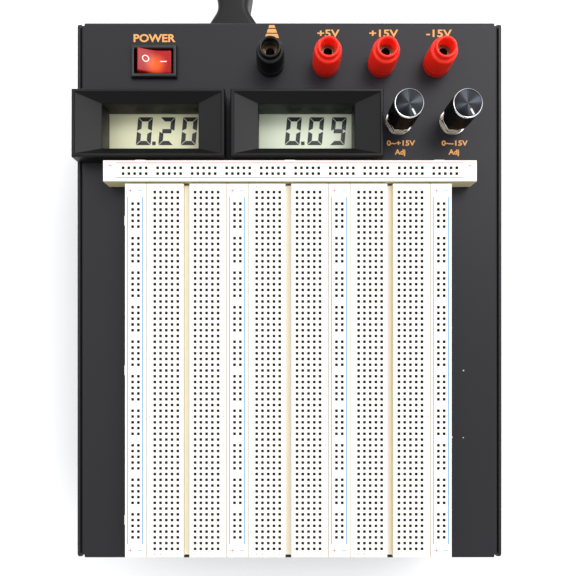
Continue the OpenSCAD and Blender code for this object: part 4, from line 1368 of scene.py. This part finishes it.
@dataclass
class BreadboardBlock:
    """Terminal strips, bus strips and everything printed on them."""

    perforator: Perforator
    pitch: float = 2.54 * MM
    rows: int = 63
    groove: float = 1.3 * MM
    edge: float = 0.35 * MM
    terminals: tuple[str, ...] = ("terminal_strip_left", "terminal_strip_middle", "terminal_strip_right")
    buses: tuple[str, ...] = ("bus_strip_left", "bus_strip_inner_left", "bus_strip_inner_right",
                              "bus_strip_right")
    red_line: float = -3.4 * MM
    blue_line: float = 3.15 * MM

    def build(self) -> None:
        """Builds every board with its printing."""
        for node in self.terminals:
            self.terminal(node)
        for node in self.buses:
            self.bus(node)
        self.bus("bus_strip_rear", turn=True)
        dress("backing_tape", FOAM)
        dress("contact_clips", SPRING)

    def local(self, node: str, turn: bool = False) -> tuple[Matrix, float, float, float]:
        """Finds a board's own place and size; its tabs aren't counted.

        Args:
            node: the board's node.
            turn: whether it lies across the panel.

        Returns:
            Its placing, its half width, half length and height.
        """
        low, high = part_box(node)
        tab = 0.8 * MM
        if turn:
            centre = ((low[0] + high[0]) / 2, (low[1] + high[1] - tab) / 2, low[2])
            half_w, half_l = (high[1] - low[1] - tab) / 2, (high[0] - low[0]) / 2
            place = Matrix.Translation(centre) @ Matrix.Rotation(-math.pi / 2, 4, "Z")
        else:
            centre = ((low[0] + high[0] + tab) / 2, (low[1] + high[1]) / 2, low[2])
            half_w, half_l = (high[0] - low[0] - tab) / 2, (high[1] - low[1]) / 2
            place = Matrix.Translation(centre)
        return place, half_w, half_l, high[2] - low[2]

    def gridded(self, xs: Sequence[float], ys: Sequence[float], top: float) -> Build:
        """Makes a block whose top is cut into cells, with a small chamfer around it.

        Args:
            xs: the cell borders along X, from the outer wall to the outer wall.
            ys: the cell borders along Y, likewise.
            top: its height.

        Returns:
            The block; its top cells come first, row by row along X.
        """
        nx, ny = len(xs), len(ys)
        e = self.edge
        gx = [xs[0] + e, *xs[1:-1], xs[-1] - e]
        gy = [ys[0] + e, *ys[1:-1], ys[-1] - e]
        points: list[Point] = [(x, y, top) for x in gx for y in gy]
        faces: list[tuple[int, ...]] = []
        for i in range(nx - 1):
            for j in range(ny - 1):
                a = i * ny + j
                faces.append((a, a + ny, a + ny + 1, a + 1))
        rim = ([(i, 0) for i in range(nx)] + [(nx - 1, j) for j in range(1, ny)]
               + [(i, ny - 1) for i in range(nx - 2, -1, -1)] + [(0, j) for j in range(ny - 2, 0, -1)])
        upper = len(points)
        points += [(xs[i], ys[j], top - e) for i, j in rim]
        lower = len(points)
        points += [(xs[i], ys[j], 0.0) for i, j in rim]
        count = len(rim)
        for k, (i, j) in enumerate(rim):
            n = (k + 1) % count
            i2, j2 = rim[n]
            faces.append((i * ny + j, i2 * ny + j2, upper + n, upper + k))
            faces.append((upper + k, upper + n, lower + n, lower + k))
        faces.append(tuple(lower + k for k in range(count)))
        return points, faces

    def perforate(self, name: str, blocks: Sequence[Build], extra: Sequence[Build], place: Matrix,
                  is_hole: Callable[[float, float], bool]) -> bpy.types.Object:
        """Marks the tie points on the blocks' tops and sinks their holes.

        Args:
            name: the board's name.
            blocks: the gridded blocks, in the board's own place.
            extra: blocks without holes.
            place: where the board goes.
            is_hole: tells whether a cell's middle is a tie point.

        Returns:
            The finished board.
        """
        points, faces = joined([*blocks, *extra])
        made = piece(name, (points, faces), BOARD, smooth=False)
        marks = made.data.attributes.new("tie_point", "BOOLEAN", "FACE")
        for face in made.data.polygons:
            middle = face.center
            flat_cell = face.normal.z > 0.99 and face.area < 1.2 * self.pitch ** 2
            marks.data[face.index].value = bool(flat_cell and is_hole(middle.x, middle.y))
        made.data.transform(place)
        values = {"Mouth share": 0.62, "Hole share": 0.74, "Chamfer": 0.22 * MM, "Depth": 1.6 * MM,
                  "Body": BOARD.material(), "Shadow": HOLE.material()}
        self.perforator.run(made, values)
        return made

    def tabs(self, half_w: float, top: float) -> list[Build]:
        """Makes the three tabs on a board's left side.

        Args:
            half_w: the board's half width.
            top: its height.

        Returns:
            The tabs.
        """
        outer, inner = -half_w - 0.8 * MM, -half_w + 0.1 * MM
        return [box((outer, y - 2.2 * MM, 1.5 * MM), (inner, y + 2.2 * MM, top - 2 * MM))
                for y in (-66.6 * MM, 0.0, 66.6 * MM)]

    def terminal(self, node: str) -> None:
        """Builds one terminal strip: two banks of five columns beside a groove."""
        place, half_w, half_l, top = self.local(node)
        p = self.pitch
        ys = [-half_l] + [(j - self.rows / 2) * p for j in range(self.rows + 1)] + [half_l]
        bank = [p + k * p for k in range(6)]
        right = [self.groove, *bank, half_w]
        left = [-x for x in reversed(right)]
        banks = [self.gridded(left, ys, top), self.gridded(right, ys, top)]
        lap = 0.05 * MM
        half_x, half_y = self.groove + lap, half_l - lap
        floor = box((-half_x, -half_y, 0), (half_x, half_y, top - 3.2 * MM))
        made = self.perforate(node + "_holes", banks, [floor, *self.tabs(half_w, top)], place,
                              lambda x, y: p < abs(x) < 6 * p and abs(y) < self.rows / 2 * p)
        place_on(made, "root", "board_plastic", node)
        marks = []
        for end in (-1, 1):
            for k, letter in enumerate("ABCDEFGHIJ"):
                x = (k - 5.5) * p if k < 5 else (k - 3.5) * p
                marks.append(lettering(letter, 1.15 * MM, (x, end * (half_l - 1.55 * MM), top), width=0.95))
        for row in [1, *range(5, self.rows + 1, 5)]:
            y = ((self.rows + 1) / 2 - row) * p
            for side in (-1, 1):
                marks.append(lettering(str(row), 1.0 * MM, (side * 16.35 * MM, y, top), turn=-90.0))
        ink = piece(node + "_marks", moved(joined(marks), place), INK_GREY, smooth=False)
        place_on(ink, "root", "board_plastic")

    def bus(self, node: str, turn: bool = False) -> None:
        """Builds one bus strip: two columns in ten groups of five, with its two lines.

        Args:
            node: the board's node.
            turn: whether it lies across the panel.
        """
        place, half_w, half_l, top = self.local(node, turn)
        p = self.pitch
        first = -29 * p
        ys = [-half_l] + [first + (j - 0.5) * p for j in range(60)] + [half_l]
        xs = [-half_w, -p, 0.0, p, half_w]

        def is_hole(x: float, y: float) -> bool:
            """Tells whether a cell is a tie point: five rows in every six."""
            index = round((y - first) / p)
            return abs(x) < p and 0 <= index <= 58 and index % 6 != 5

        grid = self.gridded(xs, ys, top)
        made = self.perforate(node + "_holes", [grid], self.tabs(half_w, top), place, is_hole)
        place_on(made, "root", "board_plastic", node)
        line, reach = 0.2 * MM, 76.6 * MM
        lines = {name: [box((x - line, -reach, top), (x + line, reach, top + 0.02 * MM))]
                 for name, x in (("red", self.red_line), ("blue", self.blue_line))}
        for end in (-1, 1):
            y = end * (half_l - 3.2 * MM)
            for long_x, long_y in ((0.95, 0.13), (0.13, 0.95)):
                lines["red"].append(self.dash(-2.2 * MM, y, long_x, long_y, top))
            lines["blue"].append(self.dash(2.0 * MM, y, 0.95, 0.13, top))
        for name, finish in (("red", INK_RED), ("blue", INK_BLUE)):
            made = piece(f"{node}_{name}", moved(joined(lines[name]), place), finish, smooth=False)
            place_on(made, "root", "board_plastic")

    @staticmethod
    def dash(x: float, y: float, half_x: float, half_y: float, top: float) -> Build:
        """Makes one printed stroke.

        Args:
            x: its middle along X.
            y: its middle along Y.
            half_x: half its length along X, in millimetres.
            half_y: half its length along Y, in millimetres.
            top: the surface that it lies on.

        Returns:
            The stroke.
        """
        half_x, half_y = half_x * MM, half_y * MM
        return box((x - half_x, y - half_y, top), (x + half_x, y + half_y, top + 0.02 * MM))


# ---------------------------------------------------------------- panel meters


@dataclass
class PanelMeter:
    """One panel meter: moulded bezel, display with its reading, and a clear window."""

    node: str
    reading: str
    finish: Finish
    window_w: float = 43.5 * MM
    window_d: float = 20 * MM
    sleeve_margin: tuple[float, float] = (13.5 * MM, 7.5 * MM)
    pocket_margin: tuple[float, float] = (5.7 * MM, 4.7 * MM)
    face_margin: tuple[float, float] = (5.3 * MM, 4.2 * MM)
    rim: float = 1.4 * MM
    funnel: float = 4 * MM
    digit_h: float = 13.2 * MM
    digit_w: float = 7.0 * MM
    digit_step: float = 10.65 * MM
    right_margin: float = 6.1 * MM
    rise: float = 2.4 * MM
    stroke: float = 2.0 * MM
    slant: float = 0.09

    SEGMENTS = {"0": "abcdef", "2": "abged", "9": "abcdfg"}

    def build(self) -> None:
        """Builds the bezel, the display's face and its digits."""
        low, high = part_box(self.node)
        self.low, self.high = low, high
        self.centre = ((low[0] + high[0]) / 2, (low[1] + high[1]) / 2, 0.0)
        self.bezel()
        self.face()
        self.digits()

    def bezel(self) -> None:
        """Skins the bezel's loops from the foot over the rim and down into the window."""
        w, d = self.high[0] - self.low[0], self.high[1] - self.low[1]
        top = self.high[2]
        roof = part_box("meter_lenses")[1][2]
        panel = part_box("top_cover")[1][2]
        sleeve = (self.window_w + self.sleeve_margin[0], self.window_d + self.sleeve_margin[1])
        pocket = (self.window_w + self.pocket_margin[0], self.window_d + self.pocket_margin[1])
        steps = [(*sleeve, self.low[2]), (*sleeve, panel),
                 (w, d, panel), (w, d, top - 0.7 * MM), (w - 0.9 * MM, d - 0.9 * MM, top),
                 (w - 2 * self.rim, d - 2 * self.rim, top),
                 (w - 2 * self.rim - 0.5 * MM, d - 2 * self.rim - 0.5 * MM, top - 0.5 * MM),
                 (self.window_w + 0.4 * MM, self.window_d + 0.4 * MM, top - self.funnel),
                 (self.window_w, self.window_d, top - self.funnel - 0.25 * MM),
                 (self.window_w, self.window_d, roof), (*pocket, roof), (*pocket, self.low[2])]
        loops = [frame_loop(self.centre, a, b, z) for a, b, z in steps]
        made = rounded(piece(self.node + "_moulding", stacked(loops, closed=True), BEZEL), 0.3 * MM, 2)
        place_on(made, "root", "bezel_plastic", self.node)

    def face(self) -> None:
        """Lays the display's own face, a hair over the model's glass."""
        low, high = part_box("meter_displays")
        z = high[2]
        x, y = self.centre[0], self.centre[1]
        half_w = (self.window_w + self.face_margin[0]) / 2
        half_d = (self.window_d + self.face_margin[1]) / 2
        made = piece(self.node + "_face",
                     box((x - half_w, y - half_d, z - 0.2 * MM), (x + half_w, y + half_d, z + 0.03 * MM)),
                     self.finish, smooth=False)
        place_on(made, "root", "display_glass")

    def digits(self) -> None:
        """Sets the reading's segments and its decimal point."""
        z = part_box("meter_displays")[1][2] + 0.03 * MM
        step = self.digit_step
        count = len(self.reading.replace(".", ""))
        right = self.centre[0] + self.window_w / 2 - self.right_margin
        base = self.centre[1] - self.digit_h / 2 + self.rise
        parts: list[Build] = []
        place = 0
        for character in self.reading:
            x = right - (count - 1 - place) * step
            if character == ".":
                x = right - (count - place) * step + self.digit_w / 2 + 1.0 * MM
                r = 0.85 * MM
                parts.append(box((x - r, base, z), (x + r, base + 2 * r, z + 0.05 * MM)))
                continue
            parts.extend(self.digit(character, x, base, z))
            place += 1
        made = piece(self.node + "_digits", joined(parts), SEGMENT, smooth=False)
        place_on(made, "root", "display_glass")

    def digit(self, character: str, x: float, base: float, z: float) -> list[Build]:
        """Makes the bars of one slanted digit.

        Args:
            character: the digit.
            x: its middle.
            base: the height of its foot on the display.
            z: the display's surface.

        Returns:
            The bars.
        """
        w, h, s = self.digit_w / 2, self.digit_h, self.stroke
        gap = 0.22 * MM
        inner = w - s * 0.6
        corners = {"a": ((-w, h), (w, h), (w - s, h - s), (-w + s, h - s)),
                   "d": ((-w, 0), (w, 0), (w - s, s), (-w + s, s)),
                   "g": ((-inner, h / 2 - s / 2), (inner, h / 2 - s / 2), (inner, h / 2 + s / 2),
                         (-inner, h / 2 + s / 2)),
                   "b": ((w, h), (w, h / 2), (w - s, h / 2 + s / 2), (w - s, h - s)),
                   "c": ((w, h / 2), (w, 0), (w - s, s), (w - s, h / 2 - s / 2)),
                   "f": ((-w, h), (-w, h / 2), (-w + s, h / 2 + s / 2), (-w + s, h - s)),
                   "e": ((-w, h / 2), (-w, 0), (-w + s, s), (-w + s, h / 2 - s / 2))}
        bars = []
        for name in self.SEGMENTS[character]:
            points = corners[name]
            mx, my = sum(p[0] for p in points) / 4, sum(p[1] for p in points) / 4
            share_x, share_y = (0.6, 0.0) if name in "adg" else (0.0, 1.0)
            shrunk = []
            for px, py in points:
                shrunk.append((px - math.copysign(min(gap, abs(px - mx)), px - mx) * share_x,
                               py - math.copysign(min(gap, abs(py - my)), py - my) * share_y))
            ring = [(x + px + self.slant * (py - h / 2), base + py) for px, py in shrunk]
            bars.append(stacked([[(a, b, c) for a, b in ring] for c in (z, z + 0.05 * MM)]))
        return bars


# ---------------------------------------------------------------- power switch


@dataclass
class PowerSwitch:
    """Rocker switch: bezel and housing, lit rocker with its two marks."""

    tilt: float = math.radians(10)
    half: float = 7.6 * MM
    crest: float = 3.0 * MM
    dip: float = 1.8 * MM
    foot: float = -4.0 * MM

    def build(self) -> None:
        """Builds the switch around the model's pivot."""
        pivot = next(j["pos_m"] for j in frame["joints"] if j["name"] == "power_rock")
        self.pivot = Vector(pivot)
        self.place = Matrix.Translation(self.pivot) @ Matrix.Rotation(self.tilt, 4, "Y")
        self.housing()
        self.rocker()
        self.marks()
        dress("switch_terminals", BRASS)
        dress("switch_lamp", LAMP)

    def housing(self) -> None:
        """Makes the housing with its raised frame around the rocker."""
        low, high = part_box("switch_housing")
        centre = ((low[0] + high[0]) / 2, (low[1] + high[1]) / 2, 0.0)
        w, d, top = high[0] - low[0], high[1] - low[1], high[2]
        panel = top - 2 * MM
        inner_w, inner_d = 17.8 * MM, 11.2 * MM
        steps = [(19 * MM, 12.8 * MM, low[2]), (19 * MM, 12.8 * MM, panel), (w, d, panel),
                 (w, d, top - 0.9 * MM), (w - 1.0 * MM, d - 1.0 * MM, top),
                 (inner_w + 0.6 * MM, inner_d + 0.6 * MM, top), (inner_w, inner_d, top - 0.5 * MM),
                 (inner_w, inner_d, low[2] + 2 * MM)]
        loops = [frame_loop(centre, a, b, z) for a, b, z in steps]
        made = rounded(piece("switch_body", stacked(loops), SWITCH), 0.25 * MM, 2)
        place_on(made, "root", "switch_plastic", "switch_housing")

    def surface(self, x: float) -> float:
        """Gives the height of the rocker's face over its pivot at a place along it."""
        return self.dip + (self.crest - self.dip) * (abs(x) / self.half) ** 1.5

    def rocker(self) -> None:
        """Makes the rocker with its hollowed face."""
        low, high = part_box("power_rocker")
        half_y = 5.25 * MM
        face = [(-self.half + 2 * self.half * k / 24) for k in range(25)]
        outline = [(x, self.surface(x)) for x in face]
        outline += [(self.half, self.dip - 1 * MM), (self.half - 2 * MM, self.foot),
                    (-self.half + 2 * MM, self.foot), (-self.half, self.dip - 1 * MM)]
        build = stacked([[(x, y, z) for x, z in outline] for y in (-half_y, half_y)])
        lamp = self.place @ Vector((0.4 * MM, -1.4 * MM, self.dip))
        red = GlowingRocker("rocker_red", "8e0a0c", "a30d0f", 0.26, grain=900.0, broad=90.0, bump=0.03,
                            specular=0.25, subsurface=0.2, lamp=tuple(lamp))
        made = rounded(piece("rocker_key", moved(build, self.place), red), 0.55 * MM, 3)
        place_on(made, "rocker", "rocker_plastic", "power_rocker")

    def marks(self) -> None:
        """Prints the off ring on the raised side and the on bar on the pressed side."""
        parts = []
        steps = 36
        loops = []
        for k in range(steps):
            angle = 2 * math.pi * k / steps
            loop = []
            for r, up in ((1.15, 0.0), (1.55, 0.0), (1.55, 0.03), (1.15, 0.03)):
                x = -3.9 * MM + r * MM * math.cos(angle)
                loop.append((x, 0.7 * MM + r * MM * math.sin(angle), self.surface(x) + up * MM))
            loops.append(loop)
        parts.append(stacked(loops, closed=True))
        bar = []
        for x in [(2.6 + 2.9 * k / 8) * MM for k in range(9)]:
            z = self.surface(x)
            bar.append([(x, 0.0 + y, z + up) for y, up in ((-0.22 * MM, 0.0), (0.22 * MM, 0.0),
                                                          (0.22 * MM, 0.03 * MM), (-0.22 * MM, 0.03 * MM))])
        parts.append(stacked(bar))
        made = piece("rocker_marks", moved(joined(parts), self.place), INK_WHITE, smooth=False)
        place_on(made, "rocker", "rocker_plastic")


# ---------------------------------------------------------------- binding posts


@dataclass
class BindingPost:
    """One binding post's cap and threaded insert."""

    name: str
    finish: Finish
    slot: str

    def build(self) -> None:
        """Turns the cap and dresses its insert."""
        node = self.name + "_post_cap"
        x, y, _ = middle_of(node)
        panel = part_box("top_cover")[1][2]
        outline = [(4.36, 3.3), (5.9, 3.3), (6.2, 3.45), (6.3, 3.8), (6.3, 4.6), (6.1, 10.4), (5.98, 11.0),
                   (5.7, 11.4), (5.3, 11.6), (4.95, 11.75), (4.8, 12.05), (4.78, 13.4), (4.65, 13.8),
                   (4.4, 14.0), (4.05, 13.98), (3.75, 13.8), (3.55, 13.45), (3.5, 12.9), (3.5, 8.56),
                   (4.36, 8.56)]
        profile = [(r * MM, z * MM) for r, z in outline]
        made = piece(node + "_moulding", lathe(profile, (x, y, panel)), self.finish)
        made.data.set_sharp_from_angle(angle=math.radians(45))
        place_on(made, self.name + "_cap", self.slot, node)
        dress(self.name + "_post_insert", BRASS)


@dataclass
class PostRow:
    """The four binding posts with their shared collars, studs and nuts."""

    def build(self) -> None:
        """Builds the posts from left to right."""
        for name, finish, slot in (("ground", POST_BLACK, "post_black"), ("plus5", POST_RED, "post_red"),
                                   ("plus15", POST_RED, "post_red"), ("minus15", POST_RED, "post_red")):
            BindingPost(name, finish, slot).build()
        first, second = middle_of("ground_post_cap"), middle_of("plus5_post_cap")
        collar = TwoTone("collar_two_colours", "e21a0c", "e92010", 0.36, grain=1300.0, bump=0.05,
                         left="0b0b0c", border=(first[0] + second[0]) / 2, rounding=0.0003)
        dress("post_bushings", collar)
        dress("post_studs", SOCKET_METAL)
        dress("post_nuts", ZINC)


# ---------------------------------------------------------------- voltage knobs


@dataclass
class VoltageKnob:
    """One voltage knob: ribbed barrel, bright ring, spun face with painted highlight rays, and pointer."""

    name: str
    ribs: RibRing
    pointer_angle: float = math.radians(-62.0)
    radius: float = 6.4 * MM

    def build(self) -> None:
        """Builds the knob's pieces on its own body."""
        node = self.name + "_knob"
        body = self.name + "_dial"
        low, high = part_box(node)
        cap_low, cap_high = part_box(self.name + "_knob_cap")
        x, y = (low[0] + high[0]) / 2, (low[1] + high[1]) / 2
        tall = cap_low[2] - low[2]
        skirt = [(3.05, 0.0), (5.7, 0.0), (6.1, 0.35), (6.1, tall / MM - 0.5), (6.2, tall / MM),
                 (3.05, tall / MM)]
        barrel = piece(node + "_barrel", lathe([(r * MM, z * MM) for r, z in skirt], (x, y, low[2])), KNOB)
        rib = (0.5 * MM, 0.28 * MM, tall - 1.6 * MM)
        self.ribs.run(barrel, {"Count": 60, "Radius": 6.12 * MM, "Rib": rib,
                               "Centre": (x, y, low[2] + tall / 2), "Finish": KNOB.material()})
        place_on(barrel, body, "knob_plastic", node)
        top = cap_high[2]
        ring = [(5.85, -0.8), (6.25, -0.8), (6.32, -0.55), (6.2, -0.15), (6.08, 0.0), (5.9, -0.05),
                (5.82, -0.25)]
        bright = piece(node + "_ring", lathe([(r * MM, z * MM) for r, z in ring], (x, y, top), 72), CHROME)
        place_on(bright, body, "knob_metal")
        # the spun face carries painted highlight rays
        spun = SpunMetal(node + "_spun", "0f1012", "15171a", 0.3, 0.85, grain=2600.0, bump=0.05,
                         centre=(x, y, top), ray="444a52")
        plate = [(5.84 * MM, -0.8 * MM), (5.84 * MM, -0.28 * MM), (5.7 * MM, -0.22 * MM),
                 (0.4 * MM, -0.3 * MM)]
        disc = piece(node + "_face", turned(plate, (x, y, top), 72), spun)
        place_on(disc, body, "knob_metal", self.name + "_knob_cap")
        self.pointer(node, body, (x, y, top))
        dress(self.name + "_pot_shaft", NICKEL)

    def pointer(self, node: str, body: str, top: Point) -> None:
        """Lays the white pointer on the knob's face.

        Args:
            node: the knob's node.
            body: the body that it turns with.
            top: the middle of the knob's top.
        """
        bar = box((2.7 * MM, -0.36 * MM, -0.3 * MM), (5.5 * MM, 0.36 * MM, -0.1 * MM))
        place = Matrix.Translation(top) @ Matrix.Rotation(self.pointer_angle, 4, "Z")
        made = rounded(piece(node + "_pointer", moved(bar, place), INK_WHITE), 0.06 * MM, 2)
        place_on(made, body, "knob_plastic")


@dataclass
class KnobPair:
    """Both voltage knobs, with the nuts and washers that hold their potentiometers."""

    ribs: RibRing
    names: tuple[str, ...] = ("plus", "minus")

    def build(self) -> None:
        """Builds the knobs and the fixings under them."""
        for name in self.names:
            VoltageKnob(name, self.ribs).build()
        self.nuts()
        dress("pot_washers", NICKEL)
        dress("pot_bodies", NICKEL)

    def nuts(self) -> None:
        """Makes the hexagon nuts with their corners turned off."""
        low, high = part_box("pot_nuts")
        parts = []
        for name in self.names:
            x, y, _ = middle_of(name + "_knob")
            hexagon = [(x + 5.75 * MM * math.cos(math.radians(a)), y + 5.75 * MM * math.sin(math.radians(a)))
                       for a in range(0, 360, 60)]
            inset = [(x + (px - x) * 0.93, y + (py - y) * 0.93) for px, py in hexagon]
            hole = [(x + 3.65 * MM * math.cos(math.radians(a)), y + 3.65 * MM * math.sin(math.radians(a)))
                    for a in range(0, 360, 60)]
            levels = [(hole, low[2]), (hexagon, low[2]), (hexagon, high[2] - 0.4 * MM), (inset, high[2]),
                      (hole, high[2])]
            parts.append(stacked([[(a, b, z) for a, b in ring] for ring, z in levels], closed=True))
        made = rounded(piece("pot_hex_nuts", joined(parts), NICKEL), 0.12 * MM, 2)
        place_on(made, "root", "nickel", "pot_nuts")


# ---------------------------------------------------------------- inside


@dataclass
class Interior:
    """What the closed case hides: it keeps the model's shapes and gets real finishes."""

    finishes: dict[str, Finish] = field(default_factory=lambda: {
        "meter_lenses": LENS, "meter_displays": LCD_COOL, "meter_boards": PCB, "mains_inlet": SWITCH,
        "inlet_pins": BRASS, "inner_screws": ZINC, "transformer_core": CORE, "transformer_winding": WINDING,
        "transformer_screws": ZINC, "power_board": PCB, "filter_capacitors": SLEEVE, "regulators": SWITCH,
        "heatsink": FINS, "wiring_loom": WIRE})

    def build(self) -> None:
        """Dresses each node."""
        for node, finish in self.finishes.items():
            dress(node, finish)
            log.info("node %s wears %s", node, finish.name)


def main() -> None:
    """Builds the studio and every sub-assembly in order."""
    logging.basicConfig(level=logging.INFO, format="%(name)s: %(message)s")
    Studio().build()
    MainsLead().build()
    Case().build()
    BreadboardBlock(Perforator()).build()
    PanelMeter("left_meter_bezel", "0.20", LCD_WARM).build()
    PanelMeter("right_meter_bezel", "0.09", LCD_COOL).build()
    PowerSwitch().build()
    PostRow().build()
    KnobPair(RibRing()).build()
    Interior().build()


if __name__ == "__main__":
    main()
